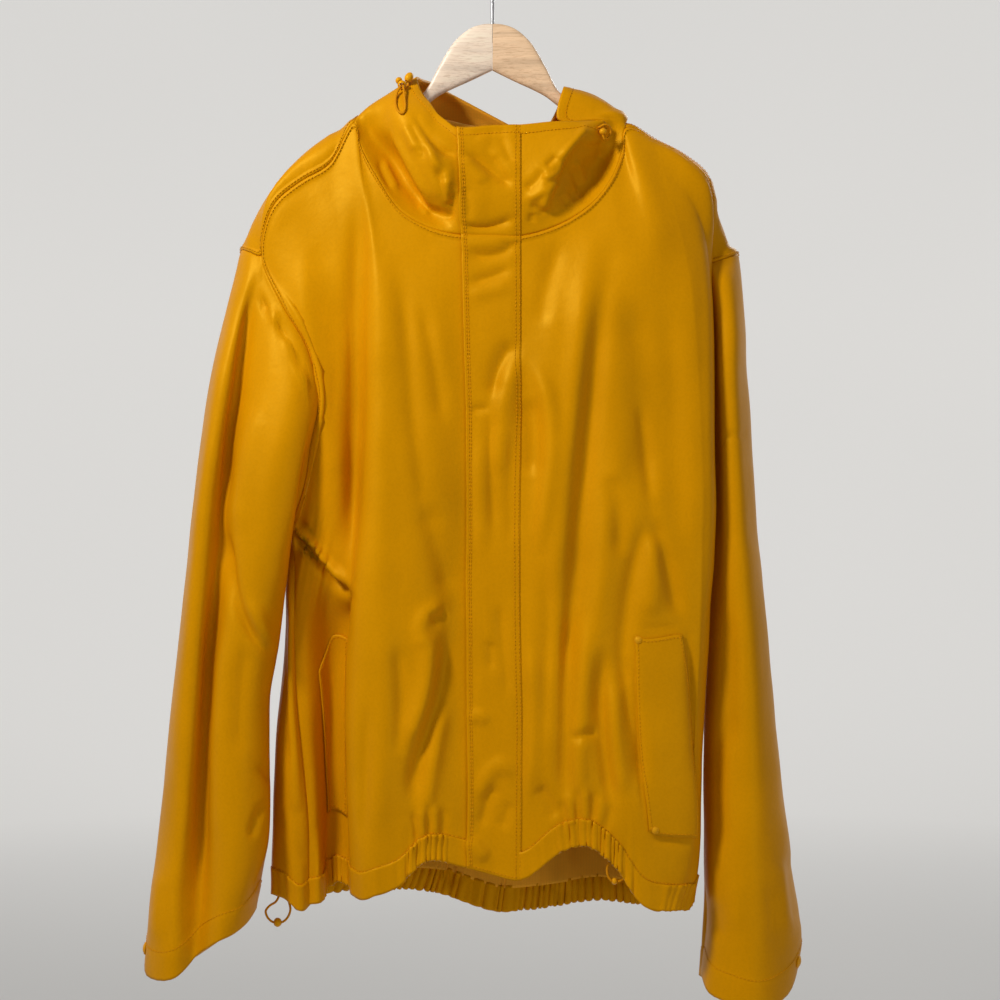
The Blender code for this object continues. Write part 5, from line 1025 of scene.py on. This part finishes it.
def stroke(places, width, height, line):
    """Height of one crease at places in the view: a soft ridge or trough that fades at its ends."""
    line = np.array(line, float)
    if len(line) > 2:
        stations = np.linspace(0, len(line) - 1, 6 * len(line))
        line = through(np.c_[line, np.zeros(len(line))], stations)[:, :2]
    low, high = line.min(0) - 4 * width, line.max(0) + 4 * width
    near = np.all((places > low) & (places < high), axis=-1)
    field = np.zeros(places.shape[:-1])
    if not near.any():
        return field
    spots = places[near]
    runs = np.diff(line, axis=0)
    sizes = np.linalg.norm(runs, axis=1)
    before = np.concatenate([[0], np.cumsum(sizes)])
    best = np.full(len(spots), 1e9)
    along = np.zeros(len(spots))
    for start, run, size, gone in zip(line[:-1], runs, sizes, before[:-1]):
        part = np.clip(((spots - start) @ run) / size ** 2, 0, 1)
        gap = spots - start - part[:, None] * run
        far = np.linalg.norm(gap, axis=1)
        closer = far < best
        best[closer] = far[closer]
        along[closer] = (gone + part[closer] * size) / before[-1]
    ends = smooth(along / STROKE_END) * smooth((1 - along) / STROKE_END) * (1 - STROKE_LEFT) + STROKE_LEFT
    field[near] = height * np.exp(-(best / width) ** 2) * ends
    return field


def uneven(points, seed, sizes, height):
    """Soft unevenness of cloth: plane waves in random directions, with these wavelengths."""
    draw = np.random.default_rng(seed)
    total = np.zeros(points.shape[:-1])
    for size in sizes:
        for _ in range(UNEVEN_WAVES):
            way = unit(draw.normal(size=3) * (1, 0.6, 0.45))
            pitch = 2 * np.pi / (size * draw.uniform(0.8, 1.25))
            total += np.sin(points @ way * pitch + draw.uniform(0, 6.3)) * size
    return total * height / (UNEVEN_WAVES * sum(sizes)) * 2.2


def crease(name, sheet, normals):
    """Heights of a piece's creases and unevenness, to be added along its normals."""
    places = front_view(sheet.grid)
    height = uneven(sheet.grid, UNEVEN_SEED, UNEVEN_SIZES, UNEVEN_HEIGHT)
    for group, facing in GROUPS.get(name, ()):
        weight = smooth(0.5 - 2.5 * normals[..., 1] * facing)
        for width, high, line in CREASES[group]:
            height += stroke(places, width, high, line) * weight
    return height


# ---- meshes -------------------------------------------------------------------------------------

def new_mesh(name, points, faces, materials, indices=None):
    """Smooth-shaded object from points in millimetres."""
    mesh = bpy.data.meshes.new(name)
    mesh.from_pydata((np.asarray(points) * MM).tolist(), [], [tuple(map(int, f)) for f in faces])
    for material in materials:
        mesh.materials.append(material)
    if indices is not None:
        mesh.polygons.foreach_set("material_index", np.asarray(indices, np.int32))
    mesh.shade_smooth()
    piece = bpy.data.objects.new(name, mesh)
    bpy.context.scene.collection.objects.link(piece)
    return piece


def wall(name, points, normals, sheet, thick, materials):
    """Thin closed wall about a grid of points."""
    rows, columns = points.shape[:2]
    count = rows * columns
    numbers = np.arange(count).reshape(rows, columns)
    if sheet.closed:
        numbers = np.concatenate([numbers, numbers[:, :1]], axis=1)
    a, b, c, d = numbers[:-1, :-1], numbers[:-1, 1:], numbers[1:, 1:], numbers[1:, :-1]
    outer = np.stack([a, d, c, b], -1).reshape(-1, 4)
    if not sheet.flipped:
        outer = outer[:, ::-1]
    loops = [list(numbers[0]), list(numbers[-1][::-1])]
    if not sheet.closed:
        sides = (numbers[0], numbers[1:, -1], numbers[-1, -2::-1], numbers[-2:0:-1, 0], numbers[0, :1])
        loops = [list(np.concatenate(sides))]
    rim = []
    for loop in loops:
        for one, two in zip(loop[:-1], loop[1:]):
            face = (one, two, two + count, one + count)
            rim.append(face if sheet.flipped else face[::-1])
    out = thick / 2 * normals
    solid = np.vstack([(points + out).reshape(-1, 3), (points - out).reshape(-1, 3)])
    faces = np.vstack([outer, outer[:, ::-1] + count, rim])
    indices = [0] * len(outer) + [1] * len(outer) + [0] * len(rim)
    return new_mesh(name, solid, faces, materials, indices)


def tube(name, line, radius, sides, material):
    """Round tube along points in millimetres; its radius depends on the turn and the way gone along it."""
    run = unit(np.gradient(line, axis=0))
    across = np.cross(run[0], (0.3, 0.5, 0.8))
    gone = np.concatenate([[0], np.cumsum(np.linalg.norm(np.diff(line, axis=0), axis=1))])
    points, faces = [], []
    for middle, way, reach in zip(line, run, gone):
        across = unit(across - way * np.dot(across, way))
        up = np.cross(way, across)
        for turn in np.linspace(0, 2 * np.pi, sides, endpoint=False):
            points.append(middle + radius(turn, reach) * (math.cos(turn) * across + math.sin(turn) * up))
    for k in range(len(line) - 1):
        for j in range(sides):
            a, b = k * sides + j, k * sides + (j + 1) % sides
            faces.append((a, b, b + sides, a + sides))
    faces += [tuple(range(sides))[::-1], tuple(range((len(line) - 1) * sides, len(line) * sides))]
    return new_mesh(name, points, faces, [material])


def stitches(name, lines):
    """Rows of stitches: short threads that dip into the cloth, along lines of (points, normals)."""
    points, faces = [], []
    for line, out in lines:
        line, out = np.asarray(line, float), np.asarray(out, float)
        steps = np.concatenate([[0], np.cumsum(np.linalg.norm(np.diff(line, axis=0), axis=1))])
        count = int(steps[-1] / (STITCH + STITCH_GAP))
        for k in range(count):
            start = k * (STITCH + STITCH_GAP)
            marks = np.linspace(start, start + STITCH, 4)
            spine = np.stack([np.interp(marks, steps, line[:, axis]) for axis in range(3)], -1)
            up = unit(np.stack([np.interp(marks, steps, out[:, axis]) for axis in range(3)], -1))
            spine = spine + up * np.array([-STITCH_DIP, STITCH_LIFT, STITCH_LIFT, -STITCH_DIP])[:, None]
            way = unit(np.gradient(spine, axis=0))
            over = np.cross(way, up)
            base = len(points)
            for spot, side, top in zip(spine, over, up):
                points += [spot + THREAD * side, spot + THREAD * 0.9 * top, spot - THREAD * side,
                           spot - THREAD * 0.9 * top]
            for j in range(3):
                for m in range(4):
                    a, b = base + 4 * j + m, base + 4 * j + (m + 1) % 4
                    faces.append((a, b, b + 4, a + 4))
            faces += [(base + 3, base + 2, base + 1, base), (base + 12, base + 13, base + 14, base + 15)]
    return new_mesh(name, points, faces, [thread])


# ---- materials ----------------------------------------------------------------------------------

def base_material(name, colour, roughness, metallic=0.0):
    """Principled material; returns it with its node tree, its shader and its object coordinates."""
    material = bpy.data.materials.new(name)
    material.use_nodes = True
    tree = material.node_tree
    shader = tree.nodes["Principled BSDF"]
    shader.inputs["Base Color"].default_value = (*colour, 1)
    shader.inputs["Roughness"].default_value = roughness
    shader.inputs["Metallic"].default_value = metallic
    material.diffuse_color = (*colour, 1)
    place = tree.nodes.new("ShaderNodeTexCoord")
    return material, tree, shader, place.outputs["Object"]


def mapped(tree, place, scale, turn=(0, 0, 0)):
    """Coordinates stretched by a scale along each axis, after a turn."""
    mapping = tree.nodes.new("ShaderNodeMapping")
    mapping.inputs["Scale"].default_value = scale
    mapping.inputs["Rotation"].default_value = turn
    tree.links.new(place, mapping.inputs["Vector"])
    return mapping.outputs["Vector"]


def noise(tree, place, scale, detail=3.0, rough=0.55):
    """Noise value at coordinates."""
    node = tree.nodes.new("ShaderNodeTexNoise")
    node.inputs["Scale"].default_value = scale
    node.inputs["Detail"].default_value = detail
    node.inputs["Roughness"].default_value = rough
    tree.links.new(place, node.inputs["Vector"])
    return node.outputs["Fac"]


def ramp(tree, value, stops):
    """Colour ramp with stops of (place, colour)."""
    node = tree.nodes.new("ShaderNodeValToRGB")
    while len(node.color_ramp.elements) < len(stops):
        node.color_ramp.elements.new(0.5)
    for element, (spot, colour) in zip(node.color_ramp.elements, stops):
        element.position = spot
        element.color = (*colour, 1) if len(colour) == 3 else colour
    tree.links.new(value, node.inputs["Fac"])
    return node.outputs["Color"]


def ranged(tree, value, low, high, into):
    """Value from 0..1 mapped to low..high and linked into a socket."""
    node = tree.nodes.new("ShaderNodeMapRange")
    node.inputs["To Min"].default_value = low
    node.inputs["To Max"].default_value = high
    tree.links.new(value, node.inputs["Value"])
    tree.links.new(node.outputs["Result"], into)


def mix(tree, kind, amount, one, two):
    """Mix of two colours; amount is a number or a socket."""
    node = tree.nodes.new("ShaderNodeMix")
    node.data_type = "RGBA"
    node.blend_type = kind
    factor, a, b = node.inputs[0], node.inputs[6], node.inputs[7]
    for socket, value in ((factor, amount), (a, one), (b, two)):
        if isinstance(value, bpy.types.NodeSocket):
            tree.links.new(value, socket)
        elif socket is factor:
            socket.default_value = value
        else:
            socket.default_value = (*value, 1)
    return node.outputs[2]


def bump(tree, shader, layers):
    """Bumps one on another: (height, strength, distance in metres)."""
    last = None
    for height, strength, distance in layers:
        node = tree.nodes.new("ShaderNodeBump")
        node.inputs["Strength"].default_value = strength
        node.inputs["Distance"].default_value = distance
        tree.links.new(height, node.inputs["Height"])
        if last:
            tree.links.new(last, node.inputs["Normal"])
        last = node.outputs["Normal"]
    tree.links.new(last, shader.inputs["Normal"])


def scaled(colour, amount):
    """Colour made lighter or darker."""
    return tuple(min(1.0, part * amount) for part in colour)


SHINE = (1.0, 0.66, 0.03)    # tint of the cloth's highlights


def coated_cloth(name, colour):
    """Outside of the coated cloth: a smooth skin with a soft shine, faint rubbing and a fine grain."""
    material, tree, shader, place = base_material(name, colour, 0.42)
    cloudy = noise(tree, place, 9, 2)
    body = ramp(tree, cloudy, [(0.3, scaled(colour, 0.93)), (0.7, scaled(colour, 1.05))])
    rubbed = noise(tree, mapped(tree, place, (90, 90, 14)), 1.0, 2, 0.7)
    pale = ramp(tree, rubbed, [(0.60, (0, 0, 0)), (0.78, (0.16, 0.16, 0.16))])
    body = mix(tree, "MIX", pale, body, scaled(colour, 1.25))
    specks = noise(tree, place, 420, 0)
    grain = ramp(tree, specks, [(0.3, (0.86, 0.86, 0.86)), (0.6, (1, 1, 1))])
    body = mix(tree, "MULTIPLY", 0.25, body, grain)
    tree.links.new(body, shader.inputs["Base Color"])
    ranged(tree, noise(tree, place, 26, 2, 0.65), 0.36, 0.56, shader.inputs["Roughness"])
    shader.inputs["Specular IOR Level"].default_value = 0.42
    shader.inputs["Specular Tint"].default_value = (*SHINE, 1)
    waves, skin = noise(tree, place, 55, 2), noise(tree, place, 300, 1)
    bump(tree, shader, [(waves, 0.35, 0.0012), (skin, 0.25, 0.0004)])
    return material


def cloth_back(name, colour):
    """Wrong side of the coated cloth: a matt knitted backing."""
    material, tree, shader, place = base_material(name, colour, 0.85)
    body = ramp(tree, noise(tree, place, 14, 2), [(0.3, scaled(colour, 0.92)), (0.7, scaled(colour, 1.06))])
    knit = tree.nodes.new("ShaderNodeTexWave")
    knit.inputs["Scale"].default_value = 210
    knit.inputs["Distortion"].default_value = 1.2
    knit.inputs["Detail Scale"].default_value = 3
    tree.links.new(place, knit.inputs["Vector"])
    rows = tree.nodes.new("ShaderNodeTexWave")
    rows.bands_direction = "Z"
    rows.inputs["Scale"].default_value = 260
    rows.inputs["Distortion"].default_value = 1.0
    tree.links.new(place, rows.inputs["Vector"])
    loops = mix(tree, "MULTIPLY", 1.0, knit.outputs["Color"], rows.outputs["Color"])
    body = mix(tree, "MULTIPLY", 0.22, body, loops)
    tree.links.new(body, shader.inputs["Base Color"])
    shader.inputs["Specular Tint"].default_value = (*SHINE, 1)
    bump(tree, shader, [(noise(tree, place, 60, 1), 0.3, 0.001), (loops, 0.35, 0.00025)])
    return material


def moulded(name, colour, roughness=0.34):
    """Moulded plastic or lacquered metal with slight unevenness."""
    material, tree, shader, place = base_material(name, colour, roughness)
    body = ramp(tree, noise(tree, place, 300, 3), [(0.3, scaled(colour, 0.9)), (0.7, scaled(colour, 1.06))])
    tree.links.new(body, shader.inputs["Base Color"])
    ranged(tree, noise(tree, place, 700, 3), roughness - 0.06, roughness + 0.12, shader.inputs["Roughness"])
    shader.inputs["Specular Tint"].default_value = (*SHINE, 1)
    bump(tree, shader, [(noise(tree, place, 900, 2), 0.15, 0.0001)])
    return material


def thread_material(name, colour):
    """Sewing thread and braided cord: matt, with fibres that vary in tone."""
    material, tree, shader, place = base_material(name, colour, 0.78)
    fibres = noise(tree, place, 1900, 2)
    body = ramp(tree, fibres, [(0.3, scaled(colour, 0.72)), (0.68, scaled(colour, 1.12))])
    tree.links.new(body, shader.inputs["Base Color"])
    shader.inputs["Specular Tint"].default_value = (*SHINE, 1)
    bump(tree, shader, [(fibres, 0.4, 0.0002)])
    return material


def varnished_wood(name, colour, slope):
    """Light wood with its grain along an arm that slopes down by an angle."""
    material, tree, shader, place = base_material(name, colour, 0.42)
    along = mapped(tree, place, (5, 60, 70), (0, slope, 0))
    figure = noise(tree, along, 1.6, 6, 0.6)
    body = ramp(tree, figure, [(0.32, scaled(colour, 0.8)), (0.5, colour), (0.68, scaled(colour, 1.14))])
    pores = noise(tree, mapped(tree, place, (30, 900, 900), (0, slope, 0)), 1.0, 3, 0.7)
    body = mix(tree, "MULTIPLY", 0.5, body, ramp(tree, pores, [(0.36, (0.62, 0.5, 0.4)), (0.5, (1, 1, 1))]))
    tree.links.new(body, shader.inputs["Base Color"])
    ranged(tree, figure, 0.34, 0.5, shader.inputs["Roughness"])
    shader.inputs["Coat Weight"].default_value = 0.35
    shader.inputs["Coat Roughness"].default_value = 0.25
    bump(tree, shader, [(pores, 0.25, 0.0002), (figure, 0.2, 0.0004)])
    return material


def drawn_wire(name, colour):
    """Plain steel wire with fine drawing marks."""
    material, tree, shader, place = base_material(name, colour, 0.3, 1.0)
    marks = noise(tree, mapped(tree, place, (900, 900, 120)), 1.0, 4)
    ranged(tree, marks, 0.22, 0.42, shader.inputs["Roughness"])
    body = ramp(tree, marks, [(0.3, scaled(colour, 0.8)), (0.7, scaled(colour, 1.1))])
    tree.links.new(body, shader.inputs["Base Color"])
    bump(tree, shader, [(marks, 0.15, 0.0001)])
    return material


def pale(name, colour, roughness):
    """Plain pale material of the room, which glows more behind the coat than before it."""
    material, tree, shader, place = base_material(name, colour, roughness)
    cloudy = noise(tree, place, 1.5, 0)
    body = ramp(tree, cloudy, [(0.3, scaled(colour, 0.485)), (0.7, scaled(colour, 0.5))])
    tree.links.new(body, shader.inputs["Base Color"])
    shader.inputs["Emission Color"].default_value = (*colour, 1)
    depth = tree.nodes.new("ShaderNodeSeparateXYZ")
    tree.links.new(place, depth.inputs["Vector"])
    spread = tree.nodes.new("ShaderNodeMapRange")
    spread.interpolation_type = "SMOOTHSTEP"
    spread.inputs["From Min"].default_value, spread.inputs["From Max"].default_value = 0.0, 5.0
    spread.inputs["To Min"].default_value, spread.inputs["To Max"].default_value = GLOW
    tree.links.new(depth.outputs["Y"], spread.inputs["Value"])
    tree.links.new(spread.outputs["Result"], shader.inputs["Emission Strength"])
    return material


# ---- the coat -----------------------------------------------------------------------------------

def calm(points):
    """How much of a crease is kept: less by the cords' ends, and where the hanger carries the cloth."""
    keep = 1 - SHOULDER_LOSS * (1 - smooth((SHOULDER + SHOULDER_RISE - points[..., 2]) / SHOULDER_RISE))
    for line in CORDS.values():
        for end in (line[0], line[-1]):
            away = np.linalg.norm(points - np.array(end), axis=-1)
            keep = keep * smooth((away - CORD_CLEAR) / CORD_EASE)
    return keep


def dress(sheets):
    """Raise the creases and the sewn bands on all the large pieces; returns their normals."""
    normals = share_normals(sheets)
    for name in sheets:
        sheet = sheets[name]
        if name in MORE_COLUMNS:
            sheet, normals[name] = sheet.refined(normals[name], MORE_COLUMNS[name])
            sheets[name] = sheet
        top, across = sheet.lengths(0), sheet.lengths(1)
        keep = calm(sheet.grid) * smooth(top / TOP_EASE)
        if name == "back":
            keep = keep * smooth(across / SIDE_EASE)
        if name in ("back", "front_right", "front_left"):
            keep = keep * smooth((across[:, -1:] - across) / SIDE_EASE)
        height = crease(name, sheet, normals[name]) * keep
        if name in WELTED:
            height += WELT * smooth((WELT_WIDTH + 0.6 - top) / 0.9) * smooth((top - 0.2) / 0.8)
        height -= DITCH * smooth(1 - top / DITCH_WIDTH)
        border = normals[name][0].copy()
        sheet.grid = sheet.grid + height[..., None] * normals[name]
        normals[name] = sheet.normals()
        normals[name][0] = border
    return normals


def thickness(sheet):
    """Thickness of a sheet at each of its points: its turned edge band is thicker."""
    thick = np.full(sheet.grid.shape[:2], CLOTH)
    thick[sheet.body_rows:] += TURNED
    if sheet.body_rows < len(thick):
        thick[sheet.body_rows - 1] += 0.3 * TURNED
    return thick[..., None]


def inset(sheet, normals, edge, distance):
    """Line on a sheet at a distance from one of its edges, top, foot, first or last, and its normals."""
    grid, out = sheet.grid, normals
    if edge in ("top", "foot"):
        grid, out = grid.transpose(1, 0, 2), out.transpose(1, 0, 2)
    if edge in ("foot", "last"):
        grid, out = grid[:, ::-1], out[:, ::-1]
    away = np.cumsum(np.pad(np.linalg.norm(np.diff(grid, axis=1), axis=2), ((0, 0), (1, 0))), axis=1)
    line, ups = (np.array([[np.interp(distance, gone, track[:, axis]) for axis in range(3)]
                           for gone, track in zip(away, values)]) for values in (grid, out))
    ups = unit(ups)
    if sheet.closed and edge in ("top", "foot"):
        line, ups = np.vstack([line, line[:1]]), np.vstack([ups, ups[:1]])
    return line + (CLOTH / 2 + 0.1) * ups, ups


def sewing(sheets, normals):
    """All rows of stitches, by the name of the piece that they are sewn through."""
    rows = {}
    for name, edge, distance, more in STITCHED:
        line, ups = inset(sheets[name], normals[name], edge, distance)
        rows.setdefault(name, []).append((line + more * ups, ups))
    return rows


def gathered_band(name, sheet, normals):
    """Turned hem band of a piece, on a finer grid whose ripples are drawn up between two places."""
    draw = np.random.default_rng(len(name))
    top = sheet.body_rows - 1
    foot = sheet.grid[-1]
    reach = np.concatenate([[0], np.cumsum(np.linalg.norm(np.diff(foot, axis=0), axis=1))])
    count = int(reach[-1] / BAND_COLUMNS)
    stations = np.interp(np.linspace(0, reach[-1], count), reach, np.arange(len(reach)))
    grid = np.array([through(row, stations) for row in sheet.grid[top:]])
    column = np.minimum(stations.astype(int), len(foot) - 2)
    part = (stations - column)[:, None]
    out = unit((1 - part) * normals[top:, column] + part * normals[top:, column + 1])
    along = np.linspace(0, reach[-1], count)
    wave = np.zeros(count)
    for left, right, period, high in GATHERED[name]:
        edge = grid[-1, :, 0]
        inside = smooth((edge - left) / RIPPLE_EASE) * smooth((right - edge) / RIPPLE_EASE)
        spot = period
        while spot < reach[-1]:
            size = high * draw.uniform(*RIPPLE_SIZES)
            wave += size * inside * np.exp(-((along - spot) / (RIPPLE_WIDTH * period)) ** 2)
            spot += period * draw.uniform(*RIPPLE_STEPS)
    down = np.linspace(0, 1, len(grid))[:, None]
    shape = 0.55 + 0.45 * np.abs(2 * down - 1) ** 1.5
    grid = grid + (wave * shape)[..., None] * out + (down ** 4 * wave * 0.7)[..., None] * (0, 0, 1)
    band = Sheet(grid, sheet.flipped)
    return band, band.normals()


def build_cloth():
    """All the cloth, replacing its solids, with its stitches."""
    sheets = cloth_sheets()
    normals = dress(sheets)
    flaps = {"storm_flap": storm_flap(sheets, normals)}
    for side, corners in POCKET_FLAPS.items():
        front = "front_" + side
        flaps["pocket_flap_" + side] = pocket_flap(sheets[front], normals[front], corners)
    for name, sheet in flaps.items():
        sheets[name], normals[name] = sheet, sheet.normals()
    for name, sheet in sheets.items():
        bands = []
        thick = thickness(sheet)
        if name in GATHERED:
            band, outward = gathered_band(name, sheet, normals[name])
            bands = [wall("hem_" + name, band.grid, outward, band, CLOTH + TURNED, [outside, outside])]
            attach(bands[0], "root")
            thick = np.full((sheet.body_rows + 1, sheet.grid.shape[1], 1), CLOTH)
        grid, out = sheet.grid[:len(thick)], normals[name][:len(thick)]
        piece = wall("cloth_" + name, grid, out, sheet, thick, [outside, inside])
        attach(piece, "root")
        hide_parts(name)
    for name, lines in sewing(sheets, normals).items():
        piece = stitches("stitches_" + name, lines)
        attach(piece, "root")
    return sheets, normals


# ---- hardware and hanger ------------------------------------------------------------------------

def turned(name, place, axis, profile, material):
    """Closed solid turned round an axis; its profile is a closed loop or runs from axis to axis."""
    turn = Vector(tuple(axis)).to_track_quat("Z", "Y").to_matrix()
    points, faces, sides = [], [], TURNED_SIDES
    on_axis = profile[0][0] == 0
    for k in range(sides):
        angle = 2 * math.pi * k / sides
        for radius, height in profile:
            wide = max(radius, 0.02)
            spot = turn @ Vector((wide * math.cos(angle), wide * math.sin(angle), height))
            points.append(np.array(place) + np.array(spot))
    count = len(profile)
    for k in range(sides):
        here, after = k * count, (k + 1) % sides * count
        for j in range(count - 1 if on_axis else count):
            low, high = j, (j + 1) % count
            faces.append((here + low, after + low, after + high, here + high))
    if on_axis:
        foot = [k * count for k in range(sides)]
        faces += [tuple(foot[::-1]), tuple(k + count - 1 for k in foot)]
    return new_mesh(name, points, faces, [material])


def bead(name, place, axis, radius, half, hole):
    """Bead with a rounded outside and a hole for its cord."""
    reach = math.acos(hole / radius)
    arc = [(radius * math.cos(reach * t), half * math.sin(reach * t)) for t in np.linspace(-1, 1, 19)]
    return turned(name, place, axis, arc, plastic)


def hardware():
    """Beads, lock and cords in place of their solids."""
    made = {}
    for name, place, axis, radius, half, hole in BEADS:
        made[name] = bead("fine_" + name, place, axis, radius, half, hole)
        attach(made[name], "root")
        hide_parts(name)
    for name, route in CORDS.items():
        path = even_route(route, CORD_FINE)
        piece = braid("braid_" + name, path)
        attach(piece, "root")
        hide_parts(name)


def braid(name, path):
    """Braided cord: a tube whose surface swells where its strands cross over."""
    pitch = 4 * (2 * math.pi / BRAID)

    def radius(turn, reach):
        swell = 0.5 * (math.cos(4 * turn + pitch * reach) + math.cos(4 * turn - pitch * reach))
        return CORD / 2 * (0.95 + 0.05 * swell)

    return tube(name, path, radius, BRAID_SIDES, braided)


def studs(sheets, normals):
    """Caps of the press studs, each a low dome in a rim, with its foot sunk into the cloth."""
    for name, piece, rib, past, row, radius, high in STUDS:
        sheet = sheets[piece]
        if rib:
            column = sheet.column(rib) + past * FINER
            into_cuff = (row - CUFF_ROW) * (len(sheet.grid) - sheet.body_rows) / CUFF_ROWS
            level = sheet.body_rows + into_cuff - 0.5
        else:
            column = past * (FLAP_COLUMNS - 1) / SOLID_FLAP_COLUMNS
            level = row * (FLAP_ROWS - 1) / SOLID_FLAP_ROWS
        out = unit(at(normals[piece], column, level))
        foot = at(sheet.grid, column, level) + (thickness(sheet)[int(level), 0, 0] / 2 + 0.05) * out
        profile = [(0, -STUD_SINK), (radius, -STUD_SINK)]
        profile += [(wide * radius, up * high) for wide, up in STUD_PROFILE]
        cap = turned("cap_" + name, foot, out, profile, stud)
        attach(cap, "root")
        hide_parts(name)


def hanger_arm(name, side, material):
    """Wooden arm with a rounded section, on the outline of its solid."""
    stations = np.linspace(0, len(ARM_OUTLINE) - 1, 8 * len(ARM_OUTLINE))
    outline = through(ARM_OUTLINE, stations)
    outline[:, 0] = np.maximum(outline[:, 0], ARM_OUTLINE[0][0])
    tilt = math.sin(ARM_TILT)
    rings = []
    for across, top, bottom in outline:
        middle, half = (top + bottom) / 2, (top - bottom) / 2
        turn = np.linspace(0, 2 * np.pi, ARM_POINTS, endpoint=False)
        deep, high = np.cos(turn), np.sin(turn)
        y = ARM_THICK / 2 * np.sign(deep) * np.abs(deep) ** ARM_SQUARE - across * math.tan(ARM_SWEEP)
        z = middle + half * np.sign(high) * np.abs(high) ** ARM_SQUARE
        x = np.full_like(y, side * across)
        rings.append(np.stack([x + (z + SHANK_TOP) * tilt, y, z - x * tilt], -1))
    last = (len(rings) - 1) * ARM_POINTS
    faces = [tuple(range(ARM_POINTS)), tuple(range(last, last + ARM_POINTS))[::-1]]
    for i in range(len(rings) - 1):
        for k in range(ARM_POINTS):
            a, b = i * ARM_POINTS + k, i * ARM_POINTS + (k + 1) % ARM_POINTS
            faces.append((a, a + ARM_POINTS, b + ARM_POINTS, b))
    if side < 0:
        faces = [face[::-1] for face in faces]
    arm = new_mesh("wood_" + name, np.array(rings).reshape(-1, 3), faces, [material])
    arm.data.set_sharp_from_angle(angle=math.radians(45))
    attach(arm, "root")
    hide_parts(name)


def hook():
    """Wire hook on the route of its solid."""
    foot = -SHANK_TOP - SHANK_DEPTH
    route = [(0, 0, z) for z in np.linspace(foot, HOOK_NECK, 6)]
    centre = HOOK_WIRE / 2 - HOOK_RADIUS
    route += [(HOOK_RADIUS * math.cos(turn), 0, centre + HOOK_RADIUS * math.sin(turn))
              for turn in np.radians(np.arange(HOOK_FROM, HOOK_TO, HOOK_TURN))]
    route = even_route(route, HOOK_STEP)
    wire = tube("wire_hook", route, lambda turn, reach: HOOK_WIRE / 2, HOOK_SIDES, steel)
    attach(wire, "root")
    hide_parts("hanger_hook")


# ---- stage, lights and camera -------------------------------------------------------------------

def camera():
    """Camera at the front, level with the middle of the coat."""
    lens = bpy.data.cameras.new("camera")
    lens.lens, lens.sensor_width = LENS, SENSOR
    lens.clip_start, lens.clip_end = 0.05, 60
    eye = bpy.data.objects.new("camera", lens)
    eye.location = [MM * part for part in EYE]
    eye.rotation_euler = (math.radians(90), 0, 0)
    bpy.context.scene.collection.objects.link(eye)
    bpy.context.scene.camera = eye


def area_light(name, place, aim, size, power, colour):
    """Soft area light that points at a place; lengths in metres."""
    lamp = bpy.data.lights.new(name, "AREA")
    lamp.shape, lamp.size, lamp.energy, lamp.color = "DISK", size, power, colour
    item = bpy.data.objects.new(name, lamp)
    item.location = place
    item.rotation_euler = (Vector(aim) - Vector(place)).to_track_quat("-Z", "Y").to_euler()
    bpy.context.scene.collection.objects.link(item)


def stage():
    """Round floor that sweeps up into a wall far round the coat."""
    profile = [(0.01, 0), (ROOM - SWEEP, 0)]
    profile += [(ROOM - SWEEP + SWEEP * math.sin(t), SWEEP * (1 - math.cos(t)))
                for t in np.linspace(0, math.pi / 2, 24)[1:]]
    profile.append((ROOM, ROOM_HEIGHT))
    points, faces, sides = [], [], 96
    for k in range(sides):
        turn = 2 * math.pi * k / sides
        points += [(r * math.cos(turn), r * math.sin(turn), FLOOR + z) for r, z in profile]
    count = len(profile)
    for k in range(sides):
        here, after = k * count, (k + 1) % sides * count
        faces += [(here + j, after + j, after + j + 1, here + j + 1) for j in range(count - 1)]
    faces.append(tuple(k * count for k in range(sides))[::-1])
    floor = new_mesh("stage_floor", np.array(points), faces, [pale("stage", ROOM_COLOUR, 0.8)])


def lights():
    """Key from the upper left, a soft fill from the right, a lamp behind the coat, and a pale surround."""
    for lamp in LAMPS:
        area_light(*lamp)
    world = bpy.data.worlds.new("surround")
    world.use_nodes = True
    world.node_tree.nodes["Background"].inputs["Color"].default_value = SKY
    world.node_tree.nodes["Background"].inputs["Strength"].default_value = SKY_STRENGTH
    bpy.context.scene.world = world
    bpy.context.scene.view_settings.view_transform = "Standard"


outside = coated_cloth("coated_cloth_outside", (0.655, 0.272, 0.0003))
inside = cloth_back("coated_cloth_inside", (0.93, 0.41, 0.03))
thread = thread_material("thread", (0.74, 0.31, 0.004))
braided = thread_material("braided_cord", (0.66, 0.25, 0.004))
plastic = moulded("orange_plastic", (0.76, 0.33, 0.006))
stud = moulded("stud_lacquer", (0.74, 0.33, 0.008), 0.36)
wood_right = varnished_wood("wood_right", (0.95, 0.77, 0.60), math.radians(30))
wood_left = varnished_wood("wood_left", (0.82, 0.56, 0.34), math.radians(-30))
steel = drawn_wire("steel_wire", (0.55, 0.55, 0.56))

camera()
coat, coat_normals = build_cloth()
hardware()
studs(coat, coat_normals)
hanger_arm("hanger_arm_right", -1, wood_right)
hanger_arm("hanger_arm_left", 1, wood_left)
hook()
stage()
lights()
